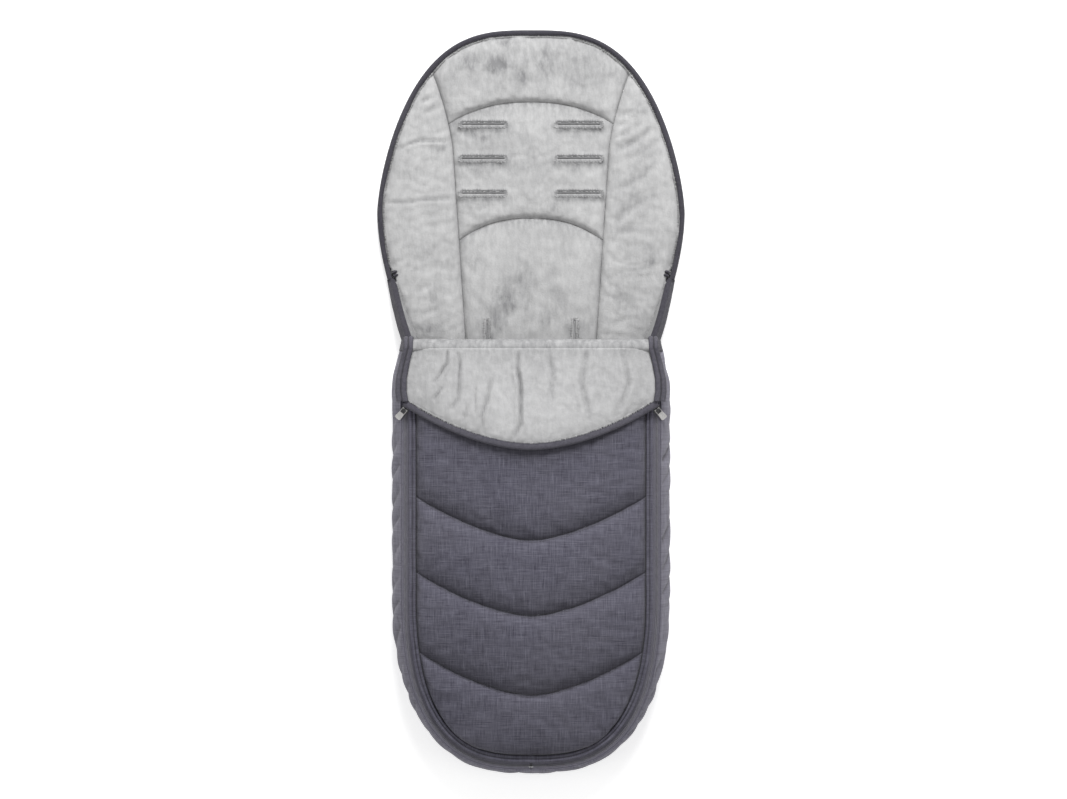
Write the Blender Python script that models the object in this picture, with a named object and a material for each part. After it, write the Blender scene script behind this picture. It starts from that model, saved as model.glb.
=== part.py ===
"""A padded stroller footmuff, lying on its back.

Metres. +Y is the head end, +X is the right side as seen from the front, +Z is up off the surface
that it lies on. The origin is under the middle of its outline.
"""
import math

import bmesh
import bpy
from mathutils import Matrix, Vector

# Outline of the back, half widths across and depths along
LENGTH = 1.000
HEAD_HALF_WIDTH = 0.2075
WAIST_HALF_WIDTH = 0.1645
BAG_HALF_WIDTH = 0.1800
HEAD_DEPTH = 0.247
SHOULDER_DEPTH = 0.171
WAIST_DEPTH = 0.070
FOOT_DEPTH = 0.234
FOOT_BULGE = 0.006

# Layers of the back, from the surface up
CLEAR = 0.0003
SHELL_THICKNESS = 0.0012
WADDING_THICKNESS = 0.006
LINER_EDGE = 0.0024
LINER_CROWN = 0.0072
BINDING_HEIGHT = 0.0135
BINDING_WIDTH = 0.0065
BINDING_WALL = 0.0012
BINDING_ROUND = 0.0022
HEAD_INSET = 0.0017
BAG_INSET = 0.0112
INSET_LEAD = 0.004
INSET_BLEND = 0.025

# Seams of the liner: distance down from the head end, half widths, and how far an arc sags
SEAM_FLARE_DEPTH = 0.160
SEAM_JOIN_DEPTH = 0.045
SEAM_JOIN_WIDTH = 0.138
SEAM_CHEST_WIDTH = 0.1053
SEAM_WAIST_DEPTH = 0.425
SEAM_WAIST_WIDTH = 0.0877
CHEST_SEAM_DEPTH = 0.097
SEAT_SEAM_DEPTH = 0.254
LINER_SEAM_SAG = 0.030

# Harness slots
SLOT_DEPTHS = (0.128, 0.174, 0.221)
SLOT_OFFSET = 0.0645
SLOT_LENGTH = 0.0640
SLOT_WIDTH = 0.0080
SLOT_RIM = 0.0009
SLOT_RIM_STAND = 0.0006
SEAT_SLOT_OFFSET = 0.0590
SEAT_SLOT_DEPTH = 0.421

# Gusset wall round the foot bag
TAPE_END_DEPTH = 0.337
SIDE_HEIGHT = 0.066
FOOT_HEIGHT = 0.052
TAPE_END_HEIGHT = 0.0122
SIDE_LEAN = 0.0130
FOLD_LEAN = 0.0050
TAPE_END_LEAN = 0.0098
FOOT_LEAN = 0.0070
SIDE_BULGE = 0.009
DROP_LENGTH = 0.148
GUSSET_LINING_LOW = 0.0075
GUSSET_LINING_TOP = 0.0030
GUSSET_LIP = 0.0006

# Zip
SLIDER_LENGTH = 0.0112
SLIDER_WIDTH = 0.0086
SLIDER_HEIGHT = 0.0050
SLIDER_PLATE = 0.0011
SLIDER_FLANGE = 0.0008
POST_WIDTH = 0.0010
POST_LENGTH = 0.0030
TOOTH_WIDTH = 0.0022
TOOTH_HEIGHT = 0.0022
TAPE_THICKNESS = 0.0006
TAPE_TURN_DOWN = 0.0026
TAPE_PLAY = 0.00045
BRIDGE_LENGTH = 0.0058
BRIDGE_WIDTH = 0.0015
BRIDGE_THICKNESS = 0.0012
PULL_WIDTH = 0.0088
PULL_LENGTH = 0.0165
PULL_THICKNESS = 0.0010
PULL_ARM = 0.0010
PULL_WINDOW = 0.0062
END_LENGTH = 0.0085
END_WIDTH = 0.0056
END_HEIGHT = 0.0032
STOP_LENGTH = 0.0028

# Quilted apron
FOLD_DEPTH = 0.4305
APRON_THICKNESS = 0.0120
APRON_LINING = 0.0030
APRON_WADDING = 0.0030
APRON_DROP = 0.0060
APRON_CROWN = 0.0190
FOOT_CROWN = 0.0050
CROWN_RUN = 0.130
QUILT_EDGE = 0.0025
QUILT_PUFF = 0.0090
QUILT_SEAM_RISE = 0.0560
BAND_WIDTH = 0.0091
BAND_HEIGHT = 0.0050
BAND_GROOVE = 0.0014
FOOT_HINGE_OVERHANG = 0.0030
FOOT_HINGE_RISE = 0.0020

# Flap folded down over the apron
FLAP_FOLD_HALF_WIDTH = 0.1580
FLAP_HALF_WIDTH = 0.1640
FLAP_LENGTH = 0.1245
FLAP_SIDE_LENGTH = 0.0678
FLAP_SEAT = 0.0010
FLAP_SHELL = 0.0015
FLAP_WADDING = 0.0045
FLAP_PLUSH_EDGE = 0.0030
FLAP_PLUSH_CROWN = 0.0045
HEM_WIDTH = 0.0088
HEM_HEIGHT = 0.0086
FLAP_TAPE_WIDTH = 0.0060
ROLL_HALF_LENGTH = 0.1580

# Shape numbers: exponents, and shares of the size that each follows
HEAD_EXPONENTS = (1.5, 0.33)
FOOT_EXPONENTS = (2.2, 0.36)
SHOULDER_EXPONENT = 1.75
SEAM_EXPONENT = 2.4
QUILT_EXPONENT = 1.6
HEM_EXPONENT = 1.8
DROP_EXPONENT = 1.3
PUFF_EXPONENT = 2.2
SIDE_EXPONENT = 6
QUILT_SEAM_SHARES = (0.450, 0.627, 0.816)
FIRST_PUFF_SHARE = 0.095
FOOT_CORNER_SHARE = 0.900
BAND_TOP_SHARE = 0.8
PULL_NECK_SHARE = 0.86
PULL_TURN_SHARE = 0.45
SLIDER_PLAN_SHARES = ((0.30, 1.0), (0.92, 0.72), (1.0, 0.45), (0.98, -0.30), (0.84, -0.85), (0.70, -1.0))

# How finely each curve is stepped
ARC_STEPS = 160
STATIONS = 18
EDGE_STEPS = (14, 6, 4, 2, 11)
WALL_STEPS = 4
HEAD_CELLS = (6, 12)
CHEST_CELLS = (8, 12)
SEAT_CELLS = (12, 10)
SIDE_COLUMNS = 4
APRON_COLUMNS = 12
PANEL_ROWS = (9, 5, 5, 6)
FLAP_ROWS = 7
ROUND_STEPS = 8

TOP_Y = LENGTH / 2
WIDE_Y = TOP_Y - HEAD_DEPTH
WAIST_Y = WIDE_Y - SHOULDER_DEPTH
BAG_Y = WAIST_Y - WAIST_DEPTH
FOOT_Y = FOOT_BULGE - LENGTH / 2
TAPER_Y = FOOT_Y + FOOT_DEPTH
TAPE_END_Y = TOP_Y - TAPE_END_DEPTH
DROP_Y = TAPE_END_Y - DROP_LENGTH
FOLD_Y = TOP_Y - FOLD_DEPTH
SLIDER_Y = FOLD_Y - FLAP_SIDE_LENGTH - HEM_WIDTH - PULL_WIDTH / 2
CHEST_SEAM_Y = TOP_Y - CHEST_SEAM_DEPTH
SEAT_SEAM_Y = TOP_Y - SEAT_SEAM_DEPTH

WADDING_LOW = SHELL_THICKNESS + CLEAR
LINER_LOW = WADDING_LOW + WADDING_THICKNESS + CLEAR
APRON_LOW = SIDE_HEIGHT - APRON_DROP
FOLD_Z = APRON_LOW + APRON_THICKNESS
ROLL_RADIUS = APRON_THICKNESS - CLEAR
CHAIN_GAP = POST_WIDTH / 2 + CLEAR
CHAIN_HALF = CHAIN_GAP + TOOTH_WIDTH
TAPE_START = CHAIN_HALF + CLEAR
SLIDER_SIDE = SLIDER_WIDTH / 2 + CLEAR
TAPE_LEG = SLIDER_SIDE + TAPE_THICKNESS
GUSSET_INNER = TAPE_LEG + CLEAR
BAND_OUTER = SLIDER_SIDE
BAND_INNER = BAND_OUTER + BAND_WIDTH
PANEL_INSET = BAND_INNER + BAND_GROOVE
HINGE_Y = FOOT_Y - FOOT_HINGE_OVERHANG
HINGE_Z = FOOT_HEIGHT + BAND_HEIGHT + TAPE_THICKNESS + FOOT_HINGE_RISE


# Shape helpers
def blend(low, high, share):
    """A value between low and high."""
    return low + (high - low) * share


def ease(share):
    """A share that starts and ends gently."""
    share = min(max(share, 0), 1)
    return share * share * (3 - 2 * share)


def steps(count):
    """Even shares from 0 to 1."""
    return [index / count for index in range(count + 1)]


def pillow(across, along):
    """How full a sewn pad is, 0 at its edges and 1 in the middle."""
    return (1 - abs(2 * across - 1) ** 2) * (1 - abs(2 * along - 1) ** 2)


class PlanCurve:
    """A curve in plan through close points, read by its share of length."""

    def __init__(self, points):
        self.points = [Vector(point) for point in points]
        self.reach = [0]
        for start, end in zip(self.points, self.points[1:]):
            self.reach.append(self.reach[-1] + (end - start).length)

    def place(self, share):
        """The point at a share, and the outward normal there."""
        wanted = min(max(share, 0), 1) * self.reach[-1]
        low, high = 0, len(self.reach) - 1
        while high - low > 1:
            middle = (low + high) // 2
            if self.reach[middle] <= wanted:
                low = middle
            else:
                high = middle
        start, end = self.points[low], self.points[high]
        point = start.lerp(end, (wanted - self.reach[low]) / (self.reach[high] - self.reach[low]))
        along = (end - start).normalized()
        return point, Vector((-along.y, along.x))

    def share_at_y(self, y):
        """The share of length at which the curve comes down to y."""
        for index, point in enumerate(self.points):
            if point.y <= y:
                return self.reach[index] / self.reach[-1]
        return 1

    def x_at_y(self, y):
        """The curve's distance from the middle line at y."""
        for start, end in zip(self.points, self.points[1:]):
            if end.y <= y:
                return start.lerp(end, (start.y - y) / (start.y - end.y)).x if start.y > end.y else end.x
        return self.points[-1].x

    def foot_y_at_x(self, x):
        """The height in plan of the foot end at x."""
        for start, end in zip(reversed(self.points), reversed(self.points[:-1])):
            if end.x >= x:
                return start.lerp(end, (x - start.x) / (end.x - start.x)).y if end.x > start.x else end.y
        return self.points[0].y

    def head_y_at_x(self, x):
        """The height in plan of the head end at x."""
        for start, end in zip(self.points, self.points[1:]):
            if end.x >= x:
                return start.lerp(end, (x - start.x) / (end.x - start.x)).y if end.x > start.x else end.y
        return self.points[-1].y

    def offset(self, inset_at):
        """The same curve drawn in by inset_at(y), which is negative outwards."""
        moved = []
        last = len(self.points) - 1
        for index, point in enumerate(self.points):
            before, after = self.points[max(index - 1, 0)], self.points[min(index + 1, last)]
            along = (after - before).normalized()
            moved.append(point - Vector((-along.y, along.x)) * inset_at(point.y))
        moved[-1].x = 0 if self.points[-1].x == 0 else moved[-1].x
        moved[0].x = 0 if self.points[0].x == 0 else moved[0].x
        return PlanCurve(moved)


def back_outline():
    """The right half of the back's edge, from the head's middle down to the foot's middle."""
    points = []
    for share in steps(ARC_STEPS):
        angle = math.pi / 2 * (1 - share)
        along = math.sin(angle) ** (2 / HEAD_EXPONENTS[0])
        across = max(math.cos(angle), 0) ** (2 * HEAD_EXPONENTS[1]) if share else 0
        points.append((HEAD_HALF_WIDTH * across, WIDE_Y + HEAD_DEPTH * along))
    for share in steps(ARC_STEPS)[1:]:
        narrowing = (HEAD_HALF_WIDTH - WAIST_HALF_WIDTH) * share ** SHOULDER_EXPONENT
        points.append((HEAD_HALF_WIDTH - narrowing, WIDE_Y - SHOULDER_DEPTH * share))
    for share in steps(ARC_STEPS)[1:]:
        half = blend(WAIST_HALF_WIDTH, BAG_HALF_WIDTH, ease(share))
        points.append((half, WAIST_Y - WAIST_DEPTH * share))
    points.append((BAG_HALF_WIDTH, TAPER_Y))
    for share in steps(ARC_STEPS)[1:]:
        angle = math.pi / 2 * share
        along = math.sin(angle) ** (2 / FOOT_EXPONENTS[0])
        across = max(math.cos(angle), 0) ** (2 * FOOT_EXPONENTS[1]) if share < 1 else 0
        points.append((BAG_HALF_WIDTH * across, TAPER_Y - FOOT_DEPTH * along))
    return PlanCurve(points)


def zip_height(y):
    """Height of the zip line above the surface, which falls to the back at the tape end."""
    if y > DROP_Y:
        fall = min((y - DROP_Y) / DROP_LENGTH, 1) ** DROP_EXPONENT
        return blend(SIDE_HEIGHT, TAPE_END_HEIGHT, fall)
    return blend(SIDE_HEIGHT, FOOT_HEIGHT, ease((TAPER_Y - y) / FOOT_DEPTH))


def zip_lean(y):
    """How far the zip line stands in from the back's edge."""
    if y > FOLD_Y:
        return blend(FOLD_LEAN, TAPE_END_LEAN, ease((y - FOLD_Y) / (TAPE_END_Y - FOLD_Y)))
    if y > DROP_Y:
        return blend(SIDE_LEAN, FOLD_LEAN, ease((y - DROP_Y) / (FOLD_Y - DROP_Y)))
    return blend(SIDE_LEAN, FOOT_LEAN, ease((TAPER_Y - y) / FOOT_DEPTH))


def layer_inset(y):
    """How far the wadding and liner stop short of the back's edge."""
    return blend(HEAD_INSET, BAG_INSET, ease((TAPE_END_Y + INSET_LEAD + INSET_BLEND - y) / INSET_BLEND))


def seam_half(y):
    """Half width between the two long seams of the liner."""
    flare_y = TOP_Y - SEAM_FLARE_DEPTH
    waist_y = TOP_Y - SEAM_WAIST_DEPTH
    if y < flare_y:
        return blend(SEAM_CHEST_WIDTH, SEAM_WAIST_WIDTH, (flare_y - y) / (flare_y - waist_y))
    share = (y - flare_y) / (SEAM_FLARE_DEPTH - SEAM_JOIN_DEPTH)
    return blend(SEAM_CHEST_WIDTH, SEAM_JOIN_WIDTH, share * (share + 1) / 2)


def liner_arc(middle_y, share):
    """A liner seam that sags away from its middle, at a signed share of its half width."""
    return middle_y - LINER_SEAM_SAG * abs(share) ** SEAM_EXPONENT


def quilt_arc(number, share):
    """A quilt seam of the apron, which rises toward its ends."""
    return blend(FOLD_Y, FOOT_Y, QUILT_SEAM_SHARES[number]) + QUILT_SEAM_RISE * abs(share) ** QUILT_EXPONENT


def hem_y(share):
    """The plush edge of the folded flap."""
    return FOLD_Y - blend(FLAP_LENGTH, FLAP_SIDE_LENGTH, abs(share) ** HEM_EXPONENT)


BACK_EDGE = back_outline()
LAYER_EDGE = BACK_EDGE.offset(layer_inset)
ZIP_START = BACK_EDGE.share_at_y(TAPE_END_Y)
ZIP_LINE = PlanCurve([point - normal * zip_lean(point.y) for point, normal in (
    BACK_EDGE.place(blend(ZIP_START, 1, share)) for share in steps(3 * ARC_STEPS))])
QUILT_LINE = ZIP_LINE.offset(lambda y: PANEL_INSET)


def apron_low(x, y):
    """Underside of the apron at a point in plan."""
    start = FOLD_Y - APRON_THICKNESS
    if y > start:
        return APRON_LOW
    side = min(abs(x) / QUILT_LINE.x_at_y(max(y, FOOT_Y + PANEL_INSET)), 1)
    rise = APRON_CROWN * ease((start - y) / CROWN_RUN)
    crown = blend(rise, FOOT_CROWN, ease((TAPER_Y - y) / FOOT_DEPTH)) * (1 - side ** 2)
    return zip_height(min(y, DROP_Y)) - APRON_DROP + crown


def first_panel_top(x, y):
    """Top of the panel nearest the fold, which the flap lies on."""
    side = min(abs(x) / QUILT_LINE.x_at_y(y), 1)
    share = min(max((FOLD_Y - y) / (FOLD_Y - quilt_arc(0, side)), 0), 1)
    return apron_low(x, y) + panel_thickness(0, share, side)


def panel_thickness(number, along, side):
    """Height of a quilted panel's top over the apron's underside."""
    base = APRON_LINING + APRON_WADDING + 2 * CLEAR + QUILT_EDGE
    if number == 0:
        along = blend(FIRST_PUFF_SHARE, 1, along)
    puff = (1 - abs(2 * along - 1) ** PUFF_EXPONENT) * (1 - side ** SIDE_EXPONENT)
    if number == 0:
        flat = APRON_THICKNESS - base
        return base + max(QUILT_PUFF * puff, flat * (1 - ease(along)))
    return base + QUILT_PUFF * puff


# Object helpers
def clear_scene():
    """Remove every object that the file opened with."""
    for old in list(bpy.data.objects):
        bpy.data.objects.remove(old, do_unlink=True)


clear_scene()
PARTS = bpy.data.collections.new("stroller_footmuff")
CUTTERS = bpy.data.collections.new("footmuff_cutters")
bpy.context.scene.collection.children.link(PARTS)
bpy.context.scene.collection.children.link(CUTTERS)


def finish(name, colour, roughness, metallic=0.0):
    """A plain surface finish."""
    made = bpy.data.materials.new(name)
    made.use_nodes = True
    surface = made.node_tree.nodes["Principled BSDF"]
    surface.inputs["Base Color"].default_value = (*colour, 1)
    surface.inputs["Roughness"].default_value = roughness
    surface.inputs["Metallic"].default_value = metallic
    return made


FABRIC_COLOUR = (0.105, 0.102, 0.127)
PLUSH_COLOUR = (0.46, 0.46, 0.46)
TRIM_COLOUR = (0.10, 0.10, 0.11)
WADDING_COLOUR = (0.85, 0.85, 0.83)
METAL_COLOUR = (0.72, 0.72, 0.74)
FINISHES = {
    "fabric": (FABRIC_COLOUR, 0.85, 0.0),
    "plush": (PLUSH_COLOUR, 0.95, 0.0),
    "trim": (TRIM_COLOUR, 0.80, 0.0),
    "wadding": (WADDING_COLOUR, 0.95, 0.0),
    "metal": (METAL_COLOUR, 0.30, 1.0),
}


def pivot(name, place, carrier=None):
    """An empty on a joint's axis, which the pieces that move there hang from."""
    empty = bpy.data.objects.new(name, None)
    PARTS.objects.link(empty)
    empty["world_place"] = place
    empty.location = Vector(place)
    if carrier:
        empty.parent = carrier
        empty.matrix_parent_inverse = Matrix.Translation(-Vector(carrier["world_place"]))
    return empty


def register(name, mesh, kind, carrier=None):
    """Make a piece from a mesh, with its own material, carried by a pivot if it moves."""
    piece = bpy.data.objects.new(name, mesh)
    PARTS.objects.link(piece)
    mesh.materials.clear()
    mesh.materials.append(finish(name, *FINISHES[kind]))
    if carrier:
        piece.parent = carrier
        piece.matrix_parent_inverse = Matrix.Translation(-Vector(carrier["world_place"]))
    return piece


def to_mesh(name, shape):
    """Close a bmesh into a mesh with its faces outward."""
    bmesh.ops.recalc_face_normals(shape, faces=shape.faces)
    mesh = bpy.data.meshes.new(name)
    shape.to_mesh(mesh)
    shape.free()
    return mesh


def pad(name, rows, low_at, top_at):
    """A closed slab over rows of points in plan, with its own height at each."""
    last_row, last_column = len(rows) - 1, len(rows[0]) - 1
    shape = bmesh.new()
    bmesh.ops.create_grid(shape, x_segments=last_column, y_segments=last_row, size=1)
    lifted = bmesh.ops.extrude_face_region(shape, geom=shape.faces[:])
    upper = {item for item in lifted["geom"] if isinstance(item, bmesh.types.BMVert)}
    for vert in shape.verts:
        column = round((vert.co.x + 1) / 2 * last_column)
        row = round((vert.co.y + 1) / 2 * last_row)
        x, y = rows[row][column]
        across, along = column / last_column, row / last_row
        height_at = top_at if vert in upper else low_at
        vert.co = (x, y, height_at(x, y, across, along))
    return to_mesh(name, shape)


def loft(name, rings, closed=False):
    """A skin through rings of points, with its two ends filled."""
    around, last = len(rings[0]), len(rings) - (0 if closed else 1)
    shape = bmesh.new()
    bmesh.ops.create_grid(shape, x_segments=around, y_segments=last, size=1)
    for vert in shape.verts:
        place = round((vert.co.x + 1) / 2 * around) % around
        ring = round((vert.co.y + 1) / 2 * last) % len(rings)
        vert.co = rings[ring][place]
    bmesh.ops.remove_doubles(shape, verts=shape.verts, dist=CLEAR / 100)
    if not closed:
        bmesh.ops.holes_fill(shape, edges=[edge for edge in shape.edges if edge.is_boundary])
    return to_mesh(name, shape)


def plate(name, outlines, low, high):
    """A flat plate from its outline in plan, with any further outlines as holes."""
    curve = bpy.data.curves.new(name, "CURVE")
    curve.dimensions = "2D"
    curve.fill_mode = "BOTH"
    curve.extrude = (high - low) / 2
    for outline in outlines:
        spline = curve.splines.new("POLY")
        spline.points.add(len(outline) - 1)
        for point, place in zip(spline.points, outline):
            point.co = (place[0], place[1], 0, 1)
        spline.use_cyclic_u = True
    flat = bpy.data.objects.new(name, curve)
    CUTTERS.objects.link(flat)
    bpy.context.view_layer.update()
    mesh = bpy.data.meshes.new_from_object(flat.evaluated_get(bpy.context.evaluated_depsgraph_get()))
    bpy.data.objects.remove(flat, do_unlink=True)
    mesh.transform(Matrix.Translation((0, 0, (low + high) / 2)))
    shape = bmesh.new()
    shape.from_mesh(mesh)
    bpy.data.meshes.remove(mesh)
    bmesh.ops.remove_doubles(shape, verts=shape.verts, dist=CLEAR / 100)
    return to_mesh(name, shape)


def block(name, low, high):
    """A rectangular block between two corners."""
    shape = bmesh.new()
    bmesh.ops.create_cube(shape, size=1)
    low, high = Vector(low), Vector(high)
    for vert in shape.verts:
        vert.co = [blend(low[axis], high[axis], vert.co[axis] + 1 / 2) for axis in range(3)]
    return to_mesh(name, shape)


def tool(name, mesh):
    """A shape that only cuts or joins others, and isn't a piece."""
    helper = bpy.data.objects.new(name, mesh)
    CUTTERS.objects.link(helper)
    helper.hide_render = True
    helper.display_type = "WIRE"
    return helper


def combine(piece, helper, operation):
    """Cut or join a piece with a helper shape."""
    boolean = piece.modifiers.new(helper.name, "BOOLEAN")
    boolean.operation = operation
    boolean.solver = "EXACT"
    boolean.object = helper


def rounded_slot(centre, length, width, along_x):
    """A slot's outline with round ends."""
    reach = (length - width) / 2
    points = []
    for end in (1, -1):
        for share in steps(ROUND_STEPS // 2):
            angle = math.pi * (share - 1 / 2)
            run = end * (reach + width / 2 * math.cos(angle))
            side = end * width / 2 * math.sin(angle)
            offset = (run, side) if along_x else (-side, run)
            points.append((centre[0] + offset[0], centre[1] + offset[1]))
    return points


def framed(share, side, curve):
    """A station on a half curve, mirrored for the left side: place and outward normal."""
    point, normal = curve.place(share)
    return Vector((side * point.x, point.y)), Vector((side * normal.x, normal.y))


def lifted_point(place, normal, out, height):
    """A point set out along a normal at a height."""
    return (place.x + normal.x * out, place.y + normal.y * out, height)


def bag_stations(curve, start, end=1):
    """Shares of a half curve from start to end: close on its bends, and few along the straight side."""
    levels = (TOP_Y, TAPE_END_Y + INSET_LEAD + INSET_BLEND, WAIST_Y, BAG_Y, TAPER_Y)
    bends = [curve.share_at_y(level) for level in levels] + [1]
    shares = []
    for low, high, count in zip(bends, bends[1:], EDGE_STEPS):
        shares += [blend(low, high, share) for share in steps(count)[:-1]]
    least = CLEAR / curve.reach[-1]
    return [start] + [share for share in shares if start + least < share < end - least] + [end]


def strip(name, side, start, end, section):
    """A strip that follows the zip line on one side, with its section in (out, up) pairs."""
    rings = []
    for share in bag_stations(ZIP_LINE, start, end):
        place, normal = framed(share, side, ZIP_LINE)
        base = zip_height(place.y)
        rings.append([lifted_point(place, normal, out, base + up) for out, up in section])
    return loft(name, rings)


# Harness slots
def slot_places():
    """Name, centre and direction of every harness slot."""
    places = []
    for side, word in ((-1, "left"), (1, "right")):
        for number, depth in enumerate(SLOT_DEPTHS, 1):
            places.append((f"chest_slot_{word}_{number}", (side * SLOT_OFFSET, TOP_Y - depth), True))
        places.append((f"seat_slot_{word}", (side * SEAT_SLOT_OFFSET, TOP_Y - SEAT_SLOT_DEPTH), False))
    return places


def slot_outline(centre, along_x, inset):
    """A slot drawn in by an inset."""
    return rounded_slot(centre, SLOT_LENGTH - 2 * inset, SLOT_WIDTH - 2 * inset, along_x)


def make_slot_bindings():
    """The stitched rim that lines each slot through all the layers."""
    low = CLEAR
    high = LINER_LOW + LINER_EDGE + LINER_CROWN + SLOT_RIM_STAND
    for name, centre, along_x in slot_places():
        outer = slot_outline(centre, along_x, CLEAR)
        inner = slot_outline(centre, along_x, CLEAR + SLOT_RIM)
        register(name, plate(name, [outer, inner], low, high), "trim")


# Back layers
def half_loop_outline(curve):
    """A closed outline from a half curve and its mirror."""
    right = [curve.place(share)[0] for share in bag_stations(curve, 0)]
    left = [Vector((-point.x, point.y)) for point in reversed(right[1:-1])]
    return right + left


def make_back_layers():
    """The outer shell and the wadding, flat layers with the slots through them."""
    holes = [slot_outline(centre, along_x, 0) for _, centre, along_x in slot_places()]
    shell_edge = BACK_EDGE.offset(lambda y: HEAD_INSET)
    shell = plate("back_shell", [half_loop_outline(shell_edge)] + holes, 0, SHELL_THICKNESS)
    register("back_shell", shell, "fabric")
    high = WADDING_LOW + WADDING_THICKNESS
    edge = half_loop_outline(LAYER_EDGE)
    register("back_wadding", plate("back_wadding", [edge] + holes, WADDING_LOW, high), "wadding")


def liner_low(x, y, across, along):
    """Underside of the liner."""
    return LINER_LOW


def liner_top(x, y, across, along):
    """Top of a liner panel, crowned between its seams."""
    return LINER_LOW + LINER_EDGE + LINER_CROWN * pillow(across, along)


def centre_panel(name, upper_at, lower_at, top_y, low_y, cells):
    """A panel between the long seams: its ends run from top_y to low_y along them."""
    rows = []
    for along in steps(cells[0]):
        end_y = blend(top_y, low_y, along)
        half = seam_half(end_y) - CLEAR / 2
        row = []
        for across in steps(cells[1]):
            share = 2 * across - 1
            upper = upper_at(share) - upper_at(1)
            lower = lower_at(share) - lower_at(1)
            row.append((share * half, end_y + blend(upper, lower, along)))
        rows.append(row)
    return pad(name, rows, liner_low, liner_top)


def make_liner():
    """The plush liner's five panels."""
    chest_end = liner_arc(CHEST_SEAM_Y, 1)
    seat_end = liner_arc(SEAT_SEAM_Y, 1)
    join_y = TOP_Y - SEAM_JOIN_DEPTH
    foot_half = seam_half(FOOT_Y)
    foot_end = LAYER_EDGE.foot_y_at_x(foot_half)
    head_half = seam_half(join_y)
    head_end = LAYER_EDGE.head_y_at_x(head_half)

    def chest_seam(share):
        return liner_arc(CHEST_SEAM_Y, share)

    def seat_seam(share):
        return liner_arc(SEAT_SEAM_Y, share)

    def head_edge(share):
        return LAYER_EDGE.head_y_at_x(abs(share) * head_half)

    def foot_edge(share):
        return LAYER_EDGE.foot_y_at_x(abs(share) * foot_half)

    head = centre_panel("liner_head_panel", head_edge, chest_seam,
                        min(head_end, join_y), chest_end + CLEAR, HEAD_CELLS)
    register("liner_head_panel", head, "plush")
    panels = {
        "liner_chest_panel": centre_panel("liner_chest_panel", chest_seam, seat_seam,
                                          chest_end, seat_end + CLEAR, CHEST_CELLS),
        "liner_seat_panel": centre_panel("liner_seat_panel", seat_seam, foot_edge,
                                         seat_end, foot_end, SEAT_CELLS),
    }
    pieces = {name: register(name, mesh, "plush") for name, mesh in panels.items()}
    low = LINER_LOW - SHELL_THICKNESS
    high = BINDING_HEIGHT + LINER_CROWN
    for name, centre, along_x in slot_places():
        outline = slot_outline(centre, along_x, 0)
        cutter = tool(name + "_cut", plate(name + "_cut", [outline], low, high))
        owner = "liner_chest_panel" if along_x else "liner_seat_panel"
        combine(pieces[owner], cutter, "DIFFERENCE")
    for side, word in ((-1, "left"), (1, "right")):
        register("liner_side_" + word, side_panel("liner_side_" + word, side), "plush")


def side_panel(name, side):
    """The panel between a long seam and the back's edge, which narrows to nothing at both ends."""
    slimmest = 2 * LINER_EDGE
    inside = [share for share in steps(8 * STATIONS) if wide_enough(share, slimmest)]
    rows = []
    for share in bag_stations(LAYER_EDGE, inside[0], inside[-1]):
        point, _ = LAYER_EDGE.place(share)
        seam = seam_half(point.y) + CLEAR
        rows.append([(side * blend(seam, point.x, across), point.y) for across in steps(SIDE_COLUMNS)])
    return pad(name, rows, liner_low, liner_top)


def wide_enough(share, slimmest):
    """Whether the side panel has some width at this share of the edge."""
    point, _ = LAYER_EDGE.place(share)
    return point.x - seam_half(point.y) > slimmest


def make_back_binding():
    """The bound edge round the head: an outer wall with a lip over the liner."""
    section = [(0, 0), (0, BINDING_HEIGHT - BINDING_ROUND), (-BINDING_ROUND / 3, BINDING_HEIGHT - BINDING_ROUND / 3),
               (-BINDING_ROUND, BINDING_HEIGHT), (-BINDING_WIDTH, BINDING_HEIGHT),
               (-BINDING_WIDTH, BINDING_HEIGHT - BINDING_WALL), (-BINDING_WALL, BINDING_HEIGHT - BINDING_WALL),
               (-BINDING_WALL, 0)]
    stop = BACK_EDGE.share_at_y(TAPE_END_Y + BINDING_WALL)
    shares = bag_stations(BACK_EDGE, 0, stop)
    rings = []
    for side, at in [(-1, share) for share in reversed(shares)] + [(1, share) for share in shares[1:]]:
        place, normal = framed(at, side, BACK_EDGE)
        if at == 0:
            normal = Vector((0, 1))
        rings.append([lifted_point(place, normal, out, up) for out, up in section])
    register("back_binding", loft("back_binding", rings), "trim")


# Gusset
def both_sides(curve, start):
    """Side and share of each station from the left start, round the foot, to the right start."""
    shares = bag_stations(curve, start)
    return [(-1, share) for share in shares] + [(1, share) for share in reversed(shares[:-1])]


def wall_rings(low, top_up, outer_gap, thick_low, thick_top):
    """Rings of the gusset wall, from the left tape end round the foot to the right one."""
    rings = []
    for side, at in both_sides(ZIP_LINE, 0):
        place, normal = framed(at, side, ZIP_LINE)
        if at == 1:
            normal = Vector((0, -1))
        height = zip_height(place.y) + GUSSET_LIP
        full = blend(SIDE_BULGE, FOOT_BULGE, ease((TAPER_Y - place.y) / FOOT_DEPTH))
        bulge = full * min((height - low) / (FOOT_HEIGHT - low), 1)
        outer, inner = [], []
        for up in steps(WALL_STEPS):
            level = blend(low, zip_height(place.y) + top_up, up)
            rise = (level - low) / (height - low)
            straight = blend(zip_lean(place.y), GUSSET_INNER + SHELL_THICKNESS, rise)
            out = straight + bulge * math.sin(math.pi * rise) - outer_gap
            outer.append(lifted_point(place, normal, out, level))
            inner.append(lifted_point(place, normal, out - blend(thick_low, thick_top, up), level))
        rings.append(outer + inner[::-1])
    return rings


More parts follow.
